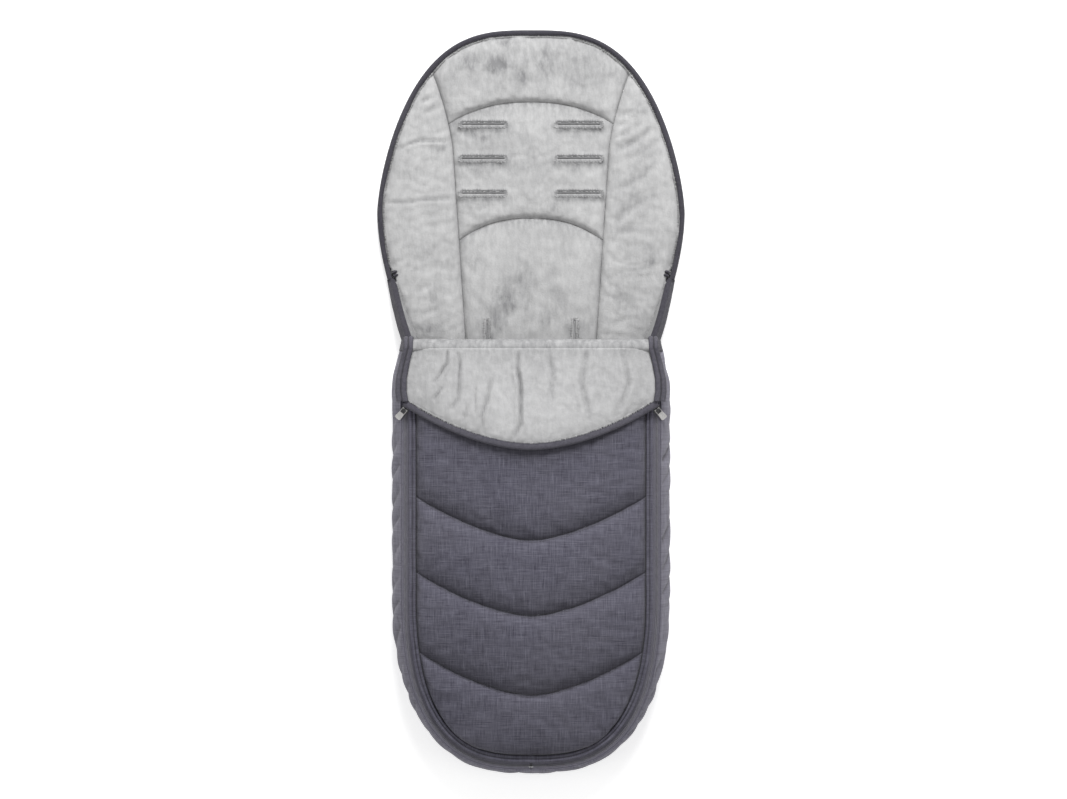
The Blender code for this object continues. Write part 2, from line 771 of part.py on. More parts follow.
def make_gusset():
    """The bag's wall: outer fabric, and a plush lining set inside it."""
    low = SHELL_THICKNESS + CLEAR
    shell = wall_rings(low, GUSSET_LIP, 0, SHELL_THICKNESS, SHELL_THICKNESS)
    register("gusset_shell", loft("gusset_shell", shell), "fabric")
    below = -SLIDER_HEIGHT / 2 - 2 * CLEAR
    gap = SHELL_THICKNESS + TAPE_THICKNESS + 2 * CLEAR
    lining = wall_rings(low, below, gap, GUSSET_LINING_LOW, GUSSET_LINING_TOP)
    register("gusset_lining", loft("gusset_lining", lining), "plush")


# Zip
def tooth_section(sign):
    """The band of teeth on one tape: sign is 1 on the gusset and -1 on the apron."""
    half = TOOTH_HEIGHT / 2
    near, far = sign * CHAIN_GAP, sign * CHAIN_HALF
    middle = (near + far) / 2
    return [(near, -half / 2), (middle, -half), (far, -half / 2), (far, half / 2), (middle, half), (near, half / 2)]


def gusset_tape_section():
    """The gusset's tape, which turns down behind the outer fabric."""
    half = TAPE_THICKNESS / 2
    down = -TAPE_TURN_DOWN
    return [(TAPE_START, half), (TAPE_LEG, half), (TAPE_LEG, down),
            (SLIDER_SIDE, down), (SLIDER_SIDE, -half), (TAPE_START, -half)]


def apron_tape_section():
    """The apron's tape, which lies flat under its edge band."""
    half = TAPE_THICKNESS / 2
    return [(-TAPE_START, half), (-TAPE_START, -half), (-BAND_INNER, -half), (-BAND_INNER, half)]


def make_zip(side, word, apron):
    """Tapes, teeth, the folded tape end and the end stop on one side."""
    foot_end = 1 - (STOP_LENGTH + 2 * CLEAR) / ZIP_LINE.reach[-1]
    tape_foot = 1 - CLEAR / ZIP_LINE.reach[-1]
    apron_start = ZIP_LINE.share_at_y(FOLD_Y - APRON_THICKNESS - CLEAR)
    stop_start = foot_end + CLEAR / ZIP_LINE.reach[-1]
    strips = (
        ("zip_teeth_gusset_", 0, foot_end, tooth_section(1), "trim", None),
        ("zip_tape_gusset_", 0, tape_foot, gusset_tape_section(), "trim", None),
        ("zip_stop_", stop_start, tape_foot, tooth_section(1), "metal", None),
        ("zip_teeth_apron_", apron_start, foot_end, tooth_section(-1), "trim", apron),
        ("zip_tape_apron_", apron_start, tape_foot, apron_tape_section(), "trim", apron),
    )
    for prefix, start, end, section, kind, carrier in strips:
        register(prefix + word, strip(prefix + word, side, start, end, section), kind, carrier)
    make_tape_end(side, word)


def make_tape_end(side, word):
    """The end of the zip tape, folded under itself into a small two-lobed knob."""
    place, normal = framed(0, side, ZIP_LINE)
    along = Vector((-normal.y, normal.x)) * side
    if along.y < 0:
        along = -along
    rings = []
    low = zip_height(place.y)
    for share in steps(8):
        run = blend(CLEAR, END_LENGTH, share)
        waist = 1 - ((1 + math.cos(4 * math.pi * share)) / 2) ** 2 * (1 / 2)
        half = END_WIDTH / 2 * waist
        high = END_HEIGHT * waist
        centre = place + along * run
        section = [(-half, 0), (half, 0), (half, high / 2), (half / 2, high), (-half / 2, high), (-half, high / 2)]
        rings.append([lifted_point(centre, normal, out, low + up) for out, up in section])
    register("tape_end_" + word, loft("tape_end_" + word, rings), "trim")


# Quilted apron
def apron_rows():
    """Rows of shares across and heights in plan, panel by panel, from the fold to the foot."""
    foot_corner = QUILT_LINE.place(FOOT_CORNER_SHARE)[0]
    panels = []
    for number, count in enumerate(PANEL_ROWS):
        rows = []
        for along in steps(count):
            rows.append(lambda share, number=number, along=along: apron_point(number, along, share, foot_corner))
        panels.append(rows)
    return panels


def apron_point(number, along, share, foot_corner):
    """A point in plan of a quilted panel, at a share along it and a signed share across."""
    if number == 0:
        end_y = blend(FOLD_Y, quilt_arc(0, 1), along)
        bend = along * (quilt_arc(0, share) - quilt_arc(0, 1))
    elif number < len(PANEL_ROWS) - 1:
        end_y = blend(quilt_arc(number - 1, 1), quilt_arc(number, 1), along)
        bend = quilt_arc(0, share) - quilt_arc(0, 1)
    else:
        end_y = blend(quilt_arc(number - 1, 1), foot_corner.y, along)
        foot = QUILT_LINE.foot_y_at_x(abs(share) * foot_corner.x) - foot_corner.y
        bend = blend(quilt_arc(0, share) - quilt_arc(0, 1), foot, along)
    half = QUILT_LINE.x_at_y(end_y)
    return share * half, end_y + bend


def inset_rows(row_functions, columns, gap_top, gap_low):
    """Rows of points, with the first and last drawn in a little from the seams."""
    rows = [[row(2 * across - 1) for across in steps(columns)] for row in row_functions]
    rows[0] = [(x, y - gap_top) for x, y in rows[0]]
    rows[-1] = [(x, y + gap_low) for x, y in rows[-1]]
    return rows


def make_apron(apron, fold_cut):
    """Lining, wadding, quilted panels and edge band."""
    panels = apron_rows()
    whole = panels[0] + [row for rows in panels[1:] for row in rows[1:]]
    layers = (("apron_lining", 0, APRON_LINING, "plush"),
              ("apron_wadding", APRON_LINING + CLEAR, APRON_LINING + CLEAR + APRON_WADDING, "wadding"))
    for name, low, high, kind in layers:
        rows = inset_rows(whole, APRON_COLUMNS, 0, 0)
        mesh = pad(name, rows, lambda x, y, across, along, low=low: apron_low(x, y) + low,
                   lambda x, y, across, along, high=high: apron_low(x, y) + high)
        combine(register(name, mesh, kind, apron), fold_cut, "DIFFERENCE")
    base = APRON_LINING + APRON_WADDING + 2 * CLEAR
    for number, panel in enumerate(panels):
        name = f"apron_panel_{number + 1}"
        gap_top = CLEAR / 2 if number else 0
        gap_low = CLEAR / 2 if number < len(panels) - 1 else 0
        rows = inset_rows(panel, APRON_COLUMNS, gap_top, gap_low)

        def top(x, y, across, along, number=number):
            return apron_low(x, y) + panel_thickness(number, along, abs(2 * across - 1))

        piece = register(name, pad(name, rows, lambda x, y, across, along: apron_low(x, y) + base, top),
                         "fabric", apron)
        if number == 0:
            combine(piece, fold_cut, "DIFFERENCE")
    make_edge_band(apron)


def make_edge_band(apron):
    """The smooth band round the apron, over its zip tape."""
    low = TAPE_THICKNESS / 2 + CLEAR
    start = ZIP_LINE.share_at_y(FOLD_Y - APRON_THICKNESS - CLEAR)
    middle = (BAND_OUTER + BAND_INNER) / 2
    section = [(-BAND_OUTER, low), (-BAND_OUTER, low + BAND_HEIGHT / 2)]
    for share in steps(ROUND_STEPS // 2):
        angle = math.pi * share
        section.append((-middle + BAND_WIDTH / 2 * math.cos(angle) * BAND_TOP_SHARE,
                        low + BAND_HEIGHT / 2 * (1 + math.sin(angle))))
    section += [(-BAND_INNER, low + BAND_HEIGHT / 2), (-BAND_INNER, low)]
    rings = []
    for side, at in both_sides(ZIP_LINE, start):
        place, normal = framed(at, side, ZIP_LINE)
        if at == 1:
            place, normal = Vector((0, place.y)), Vector((0, -1))
        base = zip_height(place.y)
        rings.append([lifted_point(place, normal, out, base + up) for out, up in section])
    register("apron_band", loft("apron_band", rings), "fabric", apron)


# Flap
def flap_half(along):
    """The flap's half width, which flares from the fold to the hem."""
    return blend(FLAP_FOLD_HALF_WIDTH, FLAP_HALF_WIDTH, along)


def flap_rows(columns):
    """Rows of points in plan from the fold to the plush edge."""
    rows = []
    for along in steps(FLAP_ROWS):
        row = []
        for across in steps(columns):
            share = 2 * across - 1
            row.append((share * flap_half(along), blend(FOLD_Y, hem_y(share), along)))
        rows.append(row)
    return rows


def make_flap(flap, fold_cut):
    """Outer fabric below, wadding, and plush on top, with a bound hem."""
    def under(x, y):
        return max(first_panel_top(x, y), FOLD_Z - CLEAR) + FLAP_SEAT

    layers = (("flap_shell", 0, FLAP_SHELL, 0, "fabric"),
              ("flap_wadding", FLAP_SHELL + CLEAR, FLAP_WADDING, 0, "wadding"),
              ("flap_lining", FLAP_SHELL + FLAP_WADDING + 2 * CLEAR, FLAP_PLUSH_EDGE, FLAP_PLUSH_CROWN, "plush"))
    for name, low, thickness, crown, kind in layers:
        def low_at(x, y, across, along, low=low):
            return under(x, y) + low

        def top_at(x, y, across, along, low=low, thickness=thickness, crown=crown):
            full = pillow(across, (1 + along) / 2)
            return under(x, y) + low + thickness + crown * full

        mesh = pad(name, flap_rows(APRON_COLUMNS), low_at, top_at)
        combine(register(name, mesh, kind, flap), fold_cut, "DIFFERENCE")
    make_hem(flap, under)
    make_flap_tapes(flap)
    roll = loft("fold_edge", roll_rings(ROLL_RADIUS, ROLL_HALF_LENGTH))
    register("fold_edge", roll, "plush", flap)


def make_hem(flap, under):
    """The bound hem along the flap's free edge."""
    rings = []
    for across in steps(STATIONS):
        share = 2 * across - 1
        step = 1 / ARC_STEPS
        slope = (hem_y(share + step) - hem_y(share - step)) / (2 * step * FLAP_HALF_WIDTH)
        normal = Vector((slope, -1)).normalized()
        x, y = Vector((share * FLAP_HALF_WIDTH, hem_y(share))) + normal * (HEM_WIDTH / 2 + 2 * CLEAR)
        base = max(under(x, y + HEM_WIDTH / 2), under(x, y - HEM_WIDTH / 2), under(x, y))
        ring = []
        for turn in range(ROUND_STEPS):
            angle = 2 * math.pi * turn / ROUND_STEPS
            out = HEM_WIDTH / 2 * math.cos(angle)
            up = HEM_HEIGHT / 2 * (1 + math.sin(angle))
            ring.append(lifted_point(Vector((x, y)), normal, out, base + CLEAR + up))
        rings.append(ring)
    register("flap_hem_binding", loft("flap_hem_binding", rings), "trim", flap)


def make_flap_tapes(flap):
    """The zip's tape and teeth on each side edge of the flap."""
    low = FOLD_Z + FLAP_SHELL + CLEAR
    ends = ((APRON_THICKNESS + CLEAR) / FLAP_SIDE_LENGTH, 1)
    for side, word in ((-1, "left"), (1, "right")):
        near = [(side * (flap_half(along) + CLEAR), blend(FOLD_Y, hem_y(1), along)) for along in ends]
        far = [(x + side * FLAP_TAPE_WIDTH, y) for x, y in reversed(near)]
        name = "zip_tape_flap_" + word
        register(name, plate(name, [near + far], low, low + TOOTH_HEIGHT), "trim", flap)


def roll_rings(radius, half_length):
    """Two end rings of a round bar along the fold line."""
    rings = []
    for x in (-half_length, half_length):
        ring = []
        for turn in range(3 * ROUND_STEPS):
            angle = 2 * math.pi * turn / (3 * ROUND_STEPS)
            ring.append((x, FOLD_Y + radius * math.cos(angle), FOLD_Z + radius * math.sin(angle)))
        rings.append(ring)
    return rings


# Sliders and pull tabs
def slider_outline(centre):
    """A slider plate in plan: shoulders at the mouth, a nose between them, a narrower tail."""
    half, reach = SLIDER_WIDTH / 2, SLIDER_LENGTH / 2
    right = [(centre[0] + half * across, centre[1] + reach * along) for across, along in SLIDER_PLAN_SHARES]
    left = [(2 * centre[0] - x, y) for x, y in reversed(right)]
    return right + left


def make_slider(side, word, carrier, centre):
    """Two plates joined by a post at the mouth, with side flanges and a bridge for the pull."""
    name = "slider_" + word
    x, y, z = centre
    half = SLIDER_HEIGHT / 2
    body = register(name, plate(name, [slider_outline((x, y))], z - half, z + half), "metal", carrier)
    reach = SLIDER_LENGTH
    channel = half - SLIDER_PLATE
    across = SLIDER_WIDTH / 2 - SLIDER_FLANGE
    slot = TAPE_THICKNESS / 2 + TAPE_PLAY
    post_low, post_high = y + SLIDER_LENGTH / 2 - POST_LENGTH, y + reach
    halves = (("_channel_l", -across, -POST_WIDTH / 2), ("_channel_r", POST_WIDTH / 2, across))
    for suffix, left, right in halves:
        mesh = block(name + suffix, (x + left, y - reach, z - channel), (x + right, post_high, z + channel))
        combine(body, tool(name + suffix, mesh), "DIFFERENCE")
    middle = block(name + "_throat", (x - POST_WIDTH, y - reach, z - channel), (x + POST_WIDTH, post_low, z + channel))
    combine(body, tool(name + "_throat", middle), "DIFFERENCE")
    for suffix, left, right in (("_slot_l", -SLIDER_WIDTH, -across + CLEAR), ("_slot_r", across - CLEAR, SLIDER_WIDTH)):
        mesh = block(name + suffix, (x + left, y - reach, z - slot), (x + right, y + reach, z + slot))
        combine(body, tool(name + suffix, mesh), "DIFFERENCE")
    bridge = make_bridge(name, x, y, z + half)
    combine(body, tool(name + "_bridge", bridge), "UNION")
    return body


def make_bridge(name, x, y, low):
    """The arch on a slider that holds its pull tab."""
    reach, foot = BRIDGE_LENGTH / 2, BRIDGE_THICKNESS
    room = PULL_THICKNESS + 2 * CLEAR
    rings = []
    for across in (-BRIDGE_WIDTH / 2, BRIDGE_WIDTH / 2):
        ring = []
        for share in steps(ROUND_STEPS):
            angle = math.pi * share
            ring.append((x + across, y + reach * math.cos(angle), low + (room + foot) * math.sin(angle) ** (1 / 2)))
        for share in steps(ROUND_STEPS):
            angle = math.pi * (1 - share)
            run = (reach - foot) * math.cos(angle)
            ring.append((x + across, y + run, low + room * max(math.sin(angle), 0) ** (1 / 2)))
        sunk = -SLIDER_PLATE / 2
        ring = [(px, py, pz + sunk if pz <= low + CLEAR / 100 else pz) for px, py, pz in ring]
        rings.append(ring)
    return loft(name + "_bridge", rings)


def make_pull(side, word, carrier, centre):
    """A plain pull tab that lies turned outward: a bar through the bridge, two arms, and a rounded end."""
    name = "pull_" + word
    x, y, z = centre
    half, bar = PULL_WIDTH / 2, PULL_THICKNESS / 2
    end = PULL_LENGTH - half / 2
    neck = half * PULL_NECK_SHARE
    outer = [(-neck, bar), (neck, bar), (neck, -PULL_WINDOW)]
    for share in steps(ROUND_STEPS):
        angle = -math.pi * share
        corner = half * abs(math.cos(angle)) ** (1 / 2) * math.copysign(1, math.cos(angle))
        outer.append((corner, half / 2 * math.sin(angle) - end))
    outer.append((-neck, -PULL_WINDOW))
    inner = neck - PULL_ARM + CLEAR
    window = [(-inner, -bar), (inner, -bar), (inner, -PULL_WINDOW), (-inner, -PULL_WINDOW)]
    turn = side * math.pi / 2 * PULL_TURN_SHARE
    outlines = [[(x + across * math.cos(turn) - along * math.sin(turn),
                  y + across * math.sin(turn) + along * math.cos(turn)) for across, along in outline]
                for outline in (outer, window)]
    register(name, plate(name, outlines, z - bar, z + bar), "metal", carrier)


def build():
    """Model every piece."""
    apron = pivot("apron_pivot", (0, HINGE_Y, HINGE_Z))
    flap = pivot("flap_pivot", (0, FOLD_Y, FOLD_Z), apron)
    reach = ROLL_HALF_LENGTH + APRON_THICKNESS
    fold_cut = tool("fold_cut", loft("fold_cut", roll_rings(ROLL_RADIUS + CLEAR, reach)))
    make_back_layers()
    make_slot_bindings()
    make_liner()
    make_back_binding()
    make_gusset()
    make_apron(apron, fold_cut)
    make_flap(flap, fold_cut)
    zip_x = ZIP_LINE.x_at_y(SLIDER_Y)
    for side, word in ((-1, "left"), (1, "right")):
        make_zip(side, word, apron)
        centre = (side * zip_x, SLIDER_Y, SIDE_HEIGHT)
        carrier = pivot(f"slider_{word}_rail", centre)
        make_slider(side, word, carrier, centre)
        eye_z = SIDE_HEIGHT + SLIDER_HEIGHT / 2 + CLEAR + PULL_THICKNESS / 2
        eye = (centre[0], SLIDER_Y, eye_z)
        make_pull(side, word, pivot(f"pull_{word}_eye", eye, carrier), eye)
    print("footmuff pieces:", sum(piece.type == "MESH" for piece in PARTS.objects))


build()
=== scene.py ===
# %% [markdown]
# # A padded stroller footmuff
# The real thing is a long quilted bag that lies on a stroller seat. Its back is lined with grey
# plush and cut through for the harness. Its front is a quilted apron, zipped on down both sides,
# with the top folded over so that the plush shows. This lesson dresses the solid model of it:
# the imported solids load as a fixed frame, and every cloth piece is then built over them.

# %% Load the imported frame
import math

import bmesh
import bpy
import numpy as np
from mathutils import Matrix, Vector, noise


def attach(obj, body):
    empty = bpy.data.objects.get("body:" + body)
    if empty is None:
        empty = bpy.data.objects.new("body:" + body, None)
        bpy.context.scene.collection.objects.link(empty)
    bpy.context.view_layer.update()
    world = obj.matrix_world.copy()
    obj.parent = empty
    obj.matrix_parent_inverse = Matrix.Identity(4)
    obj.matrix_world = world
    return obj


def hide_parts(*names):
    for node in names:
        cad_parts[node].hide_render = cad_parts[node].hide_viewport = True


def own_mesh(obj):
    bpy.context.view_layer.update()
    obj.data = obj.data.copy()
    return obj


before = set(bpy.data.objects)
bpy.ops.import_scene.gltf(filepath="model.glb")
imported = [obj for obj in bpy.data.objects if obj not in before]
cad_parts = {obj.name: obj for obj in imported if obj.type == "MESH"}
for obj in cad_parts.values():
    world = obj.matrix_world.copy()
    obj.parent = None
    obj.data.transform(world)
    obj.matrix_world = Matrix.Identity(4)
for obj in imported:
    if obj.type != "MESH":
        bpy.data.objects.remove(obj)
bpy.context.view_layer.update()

# %% [markdown]
# ## Camera, floor and light
# The photograph looks straight down from a little over three metres, so lines that stand a few
# centimetres up look a touch larger. The lens is worked out from the picture's width in metres.
# A pale floor and broad soft lights give the even studio look, and the stronger light comes from
# the head end, which darkens the lower edge of each quilted panel; painted shade there adds to it.

# %% Camera, floor and light
PHOTO_PIXELS = (1067, 799)
PIXEL = 0.001355
CAMERA_HEIGHT = 3.2
CENTRE_PIXEL = (531.0, 400.5)

camera_data = bpy.data.cameras.new("photo_camera")
camera_data.sensor_width = 36
camera_data.lens = 36 * CAMERA_HEIGHT / (PHOTO_PIXELS[0] * PIXEL)
camera = bpy.data.objects.new("photo_camera", camera_data)
camera.location = ((PHOTO_PIXELS[0] / 2 - CENTRE_PIXEL[0]) * PIXEL,
                   (CENTRE_PIXEL[1] - PHOTO_PIXELS[1] / 2) * PIXEL, CAMERA_HEIGHT)
bpy.context.scene.collection.objects.link(camera)
bpy.context.scene.camera = camera


def add_light(name, place, size, power):
    """A square soft light that points at the middle of the object."""
    light = bpy.data.lights.new(name, "AREA")
    light.size = size
    light.energy = power
    lamp = bpy.data.objects.new(name, light)
    lamp.location = place
    lamp.rotation_euler = (-Vector(place)).to_track_quat("-Z", "Y").to_euler()
    bpy.context.scene.collection.objects.link(lamp)
    return lamp


add_light("head_light", (0.30, 2.4, 1.9), 1.1, 98)
add_light("left_fill", (-2.4, -0.3, 2.2), 1.6, 15)
add_light("right_fill", (2.4, -0.3, 2.2), 1.6, 13)
world = bpy.data.worlds.new("studio_air")
world.use_nodes = True
world.node_tree.nodes["Background"].inputs["Color"].default_value = (1, 1, 1, 1)
world.node_tree.nodes["Background"].inputs["Strength"].default_value = 0.42
bpy.context.scene.world = world
bpy.context.scene.view_settings.view_transform = "Standard"
print("camera lens", round(camera_data.lens, 1), "mm")

# %% [markdown]
# ## Node groups
# Four effects appear on more than one finish, so each is a small node group with named inputs.
# *Slub weave* makes the two-tone cloth: fine crossed yarns, some darker and some lighter, with a
# weave too small to see from a step away. *Plush pile* makes short fur: soft patches where the
# pile lies differently, a fine fuzz, and painted shade where a piece asks for it. *Twill rib* is the diagonal rib of
# binding tape. *Dust and shade* is a slow change of tone that keeps any large face from looking painted, and it also
# multiplies in painted shade.

# %% Node group helpers
def new_group(name, inputs, outputs):
    """A shader node group with its sockets, and its two end nodes."""
    group = bpy.data.node_groups.new(name, "ShaderNodeTree")
    for label, kind, value in inputs:
        socket = group.interface.new_socket(label, in_out="INPUT", socket_type=kind)
        if value is not None:
            socket.default_value = value
    for label, kind in outputs:
        group.interface.new_socket(label, in_out="OUTPUT", socket_type=kind)
    return group, group.nodes.new("NodeGroupInput"), group.nodes.new("NodeGroupOutput")


def link(tree, start, end):
    """Join one socket to another."""
    tree.links.new(start, end)


def math_node(tree, operation, first, second=None, third=None):
    """A maths node, whose inputs are sockets or numbers."""
    made = tree.nodes.new("ShaderNodeMath")
    made.operation = operation
    for socket, value in zip(made.inputs, (first, second, third)):
        if isinstance(value, bpy.types.NodeSocket):
            link(tree, value, socket)
        elif value is not None:
            socket.default_value = value
    return made.outputs[0]


def noise_at(tree, vector, stretch, scale, detail=2.0, roughness=0.5):
    """A noise whose grain is stretched by different numbers on each axis."""
    mapping = tree.nodes.new("ShaderNodeMapping")
    mapping.inputs["Scale"].default_value = stretch
    link(tree, vector, mapping.inputs["Vector"])
    grain = tree.nodes.new("ShaderNodeTexNoise")
    grain.inputs["Scale"].default_value = scale
    grain.inputs["Detail"].default_value = detail
    grain.inputs["Roughness"].default_value = roughness
    link(tree, mapping.outputs["Vector"], grain.inputs["Vector"])
    return grain.outputs["Fac"]


def mix_colour(tree, share, low, high, blend_type="MIX"):
    """A colour between two, which are sockets or colours."""
    made = tree.nodes.new("ShaderNodeMix")
    made.data_type = "RGBA"
    made.blend_type = blend_type
    made.clamp_factor = True
    for socket, value in ((made.inputs[0], share), (made.inputs[6], low), (made.inputs[7], high)):
        if isinstance(value, bpy.types.NodeSocket):
            link(tree, value, socket)
        else:
            socket.default_value = value
    return made.outputs[2]


def ramp_value(tree, value, low, high):
    """A value stretched so that low gives 0 and high gives 1."""
    made = tree.nodes.new("ShaderNodeMapRange")
    made.inputs["From Min"].default_value = low
    made.inputs["From Max"].default_value = high
    link(tree, value, made.inputs["Value"])
    return made.outputs["Result"]


# %% Slub weave group
def make_slub_weave():
    """Crossed yarns that vary in tone, in metres of cloth."""
    group, start, end = new_group("slub_weave", (
        ("Cloth", "NodeSocketVector", None), ("Ground", "NodeSocketColor", (0.1, 0.1, 0.12, 1)),
        ("Dark yarn", "NodeSocketColor", (0.05, 0.05, 0.07, 1)),
        ("Light yarn", "NodeSocketColor", (0.2, 0.2, 0.22, 1)),
    ), (("Color", "NodeSocketColor"), ("Height", "NodeSocketFloat")))
    cloth = start.outputs["Cloth"]
    warp = noise_at(group, cloth, (760, 44, 1), 1.0, 3.0, 0.6)
    weft = noise_at(group, cloth, (40, 700, 1), 1.0, 3.0, 0.6)
    warp_fine = noise_at(group, cloth, (1500, 120, 1), 1.0, 1.0)
    weft_fine = noise_at(group, cloth, (120, 1500, 1), 1.0, 1.0)
    slub = math_node(group, "ADD", noise_at(group, cloth, (390, 21, 1), 1.0, 2.0),
                     noise_at(group, cloth, (19, 360, 1), 1.0, 2.0))
    both = math_node(group, "MULTIPLY_ADD", math_node(group, "SUBTRACT", slub, 1.0), 0.60,
                     math_node(group, "ADD", warp, weft))
    fine = math_node(group, "ADD", warp_fine, weft_fine)
    dark = ramp_value(group, math_node(group, "MINIMUM", warp, weft), 0.42, 0.27)
    light = ramp_value(group, math_node(group, "MAXIMUM", warp, weft), 0.57, 0.74)
    tone = ramp_value(group, math_node(group, "ADD", both, math_node(group, "MULTIPLY", fine, 0.5)), 1.1, 1.9)
    ground = mix_colour(group, tone, mix_colour(group, 0.45, start.outputs["Ground"], start.outputs["Dark yarn"]),
                        mix_colour(group, 0.40, start.outputs["Ground"], start.outputs["Light yarn"]))
    darker = mix_colour(group, math_node(group, "MULTIPLY", dark, 0.70), ground, start.outputs["Dark yarn"])
    yarns = mix_colour(group, math_node(group, "MULTIPLY", light, 0.45), darker, start.outputs["Light yarn"])
    link(group, yarns, end.inputs["Color"])
    split = group.nodes.new("ShaderNodeSeparateXYZ")
    link(group, cloth, split.inputs["Vector"])
    over = math_node(group, "SINE", math_node(group, "MULTIPLY", split.outputs["X"], 2 * math.pi / 0.0011))
    under = math_node(group, "SINE", math_node(group, "MULTIPLY", split.outputs["Y"], 2 * math.pi / 0.0011))
    woven = math_node(group, "MULTIPLY", math_node(group, "MULTIPLY", over, under), 0.35)
    link(group, math_node(group, "ADD", woven, both), end.inputs["Height"])
    return group


SLUB_WEAVE = make_slub_weave()
print("group", SLUB_WEAVE.name, len(SLUB_WEAVE.nodes), "nodes")


# %% Plush pile group
def make_plush_pile():
    """Short fur: slow patches where the pile turns, streaks along it, a fine fuzz, and darkening from the Nap and shade
    input, mostly painted shade.
    """
    group, start, end = new_group("plush_pile", (
        ("Place", "NodeSocketVector", None), ("Pile", "NodeSocketColor", (0.5, 0.5, 0.5, 1)),
        ("Shaded pile", "NodeSocketColor", (0.3, 0.3, 0.3, 1)), ("Patchiness", "NodeSocketFloat", 0.5),
        ("Nap and shade", "NodeSocketFloat", 0.0),
    ), (("Color", "NodeSocketColor"), ("Height", "NodeSocketFloat")))
    place = start.outputs["Place"]
    patch = noise_at(group, place, (19, 13, 19), 1.0, 5.0, 0.62)
    streak = noise_at(group, place, (170, 60, 140), 1.0, 4.0, 0.65)
    fuzz = noise_at(group, place, (620, 480, 620), 1.0, 2.0, 0.6)
    patches = ramp_value(group, patch, 0.60, 0.36)
    streaks = ramp_value(group, streak, 0.66, 0.36)
    fuzzes = ramp_value(group, fuzz, 0.70, 0.35)
    some = math_node(group, "MULTIPLY", math_node(group, "MULTIPLY_ADD", patches, 0.7, 0.1),
                     start.outputs["Patchiness"])
    total = math_node(group, "MULTIPLY_ADD", fuzzes, 0.10, some)
    total = math_node(group, "MULTIPLY_ADD", streaks, 0.22, total)
    brushed_and_shaded = math_node(group, "MULTIPLY", start.outputs["Nap and shade"],
                        math_node(group, "MULTIPLY_ADD", streaks, 0.6, 0.65))
    total = math_node(group, "ADD", total, brushed_and_shaded)
    link(group, mix_colour(group, total, start.outputs["Pile"], start.outputs["Shaded pile"]), end.inputs["Color"])
    rough = math_node(group, "MULTIPLY_ADD", streak, 0.8, math_node(group, "MULTIPLY", fuzz, 0.5))
    link(group, math_node(group, "MULTIPLY_ADD", patch, 1.2, rough), end.inputs["Height"])
    return group


PLUSH_PILE = make_plush_pile()
print("group", PLUSH_PILE.name, len(PLUSH_PILE.nodes), "nodes")


# %% Twill rib and dust groups
def make_twill_rib():
    """Diagonal ribs of binding tape, in metres of tape."""
    group, start, end = new_group("twill_rib", (
        ("Tape", "NodeSocketVector", None), ("Thread", "NodeSocketColor", (0.06, 0.06, 0.07, 1)),
        ("Gap", "NodeSocketColor", (0.03, 0.03, 0.035, 1)), ("Rib spacing", "NodeSocketFloat", 0.0015),
    ), (("Color", "NodeSocketColor"), ("Height", "NodeSocketFloat")))
    split = group.nodes.new("ShaderNodeSeparateXYZ")
    link(group, start.outputs["Tape"], split.inputs["Vector"])
    run = math_node(group, "ADD", split.outputs["X"], split.outputs["Y"])
    wave = math_node(group, "DIVIDE", run, start.outputs["Rib spacing"])
    rib = math_node(group, "SINE", math_node(group, "MULTIPLY", wave, 2 * math.pi))
    share = ramp_value(group, rib, -0.9, 0.7)
    mottle = noise_at(group, start.outputs["Tape"], (260, 260, 260), 1.0, 3.0)
    uneven = math_node(group, "MULTIPLY", share, ramp_value(group, mottle, 0.25, 0.60))
    link(group, mix_colour(group, uneven, start.outputs["Gap"], start.outputs["Thread"]), end.inputs["Color"])
    link(group, rib, end.inputs["Height"])
    return group


def make_dust_and_shade():
    """A slow change of tone over a large face, and painted shade multiplied in from the Shade input."""
    group, start, end = new_group("dust_and_shade", (
        ("Place", "NodeSocketVector", None), ("Color", "NodeSocketColor", (0.5, 0.5, 0.5, 1)),
        ("Amount", "NodeSocketFloat", 0.15), ("Shade", "NodeSocketFloat", 0.0),
    ), (("Color", "NodeSocketColor"), ("Cloud", "NodeSocketFloat")))
    cloud = noise_at(group, start.outputs["Place"], (9, 9, 9), 1.0, 5.0, 0.6)
    share = math_node(group, "MULTIPLY", ramp_value(group, cloud, 0.35, 0.70), start.outputs["Amount"])
    dusted = mix_colour(group, share, start.outputs["Color"], (0.22, 0.21, 0.23, 1))
    shaded = mix_colour(group, start.outputs["Shade"], dusted, (0.40, 0.40, 0.37, 1), "MULTIPLY")
    link(group, shaded, end.inputs["Color"])
    link(group, cloud, end.inputs["Cloud"])
    return group


TWILL_RIB = make_twill_rib()
DUST_AND_SHADE = make_dust_and_shade()
print("groups", TWILL_RIB.name, "and", DUST_AND_SHADE.name)

# %% [markdown]
# ## Finishes
# Each finish is its own material with a Principled shader. Cloth is rough all over, so its look
# comes from colour and a small bump. The plush also has sheen, because the tips of its fibres
# catch the light when seen edge on. Colours were adjusted until the mean tone of each large area
# came close to the photograph's.


# %% Finish helpers
def new_finish(name, roughness, metallic=0.0, sheen=0.0, sheen_roughness=0.5):
    """A material with its own Principled shader."""
    made = bpy.data.materials.new(name)
    made.use_nodes = True
    surface = made.node_tree.nodes["Principled BSDF"]
    surface.inputs["Roughness"].default_value = roughness
    surface.inputs["Metallic"].default_value = metallic
    surface.inputs["Sheen Weight"].default_value = sheen
    surface.inputs["Sheen Roughness"].default_value = sheen_roughness
    surface.inputs["Specular IOR Level"].default_value = 0.25 if metallic == 0 else 0.5
    return made, made.node_tree, surface


def place_group(tree, group, values):
    """Put a node group in a material, with its own values or links."""
    made = tree.nodes.new("ShaderNodeGroup")
    made.node_tree = group
    for label, value in values.items():
        if isinstance(value, bpy.types.NodeSocket):
            link(tree, value, made.inputs[label])
        else:
            made.inputs[label].default_value = value
    return made


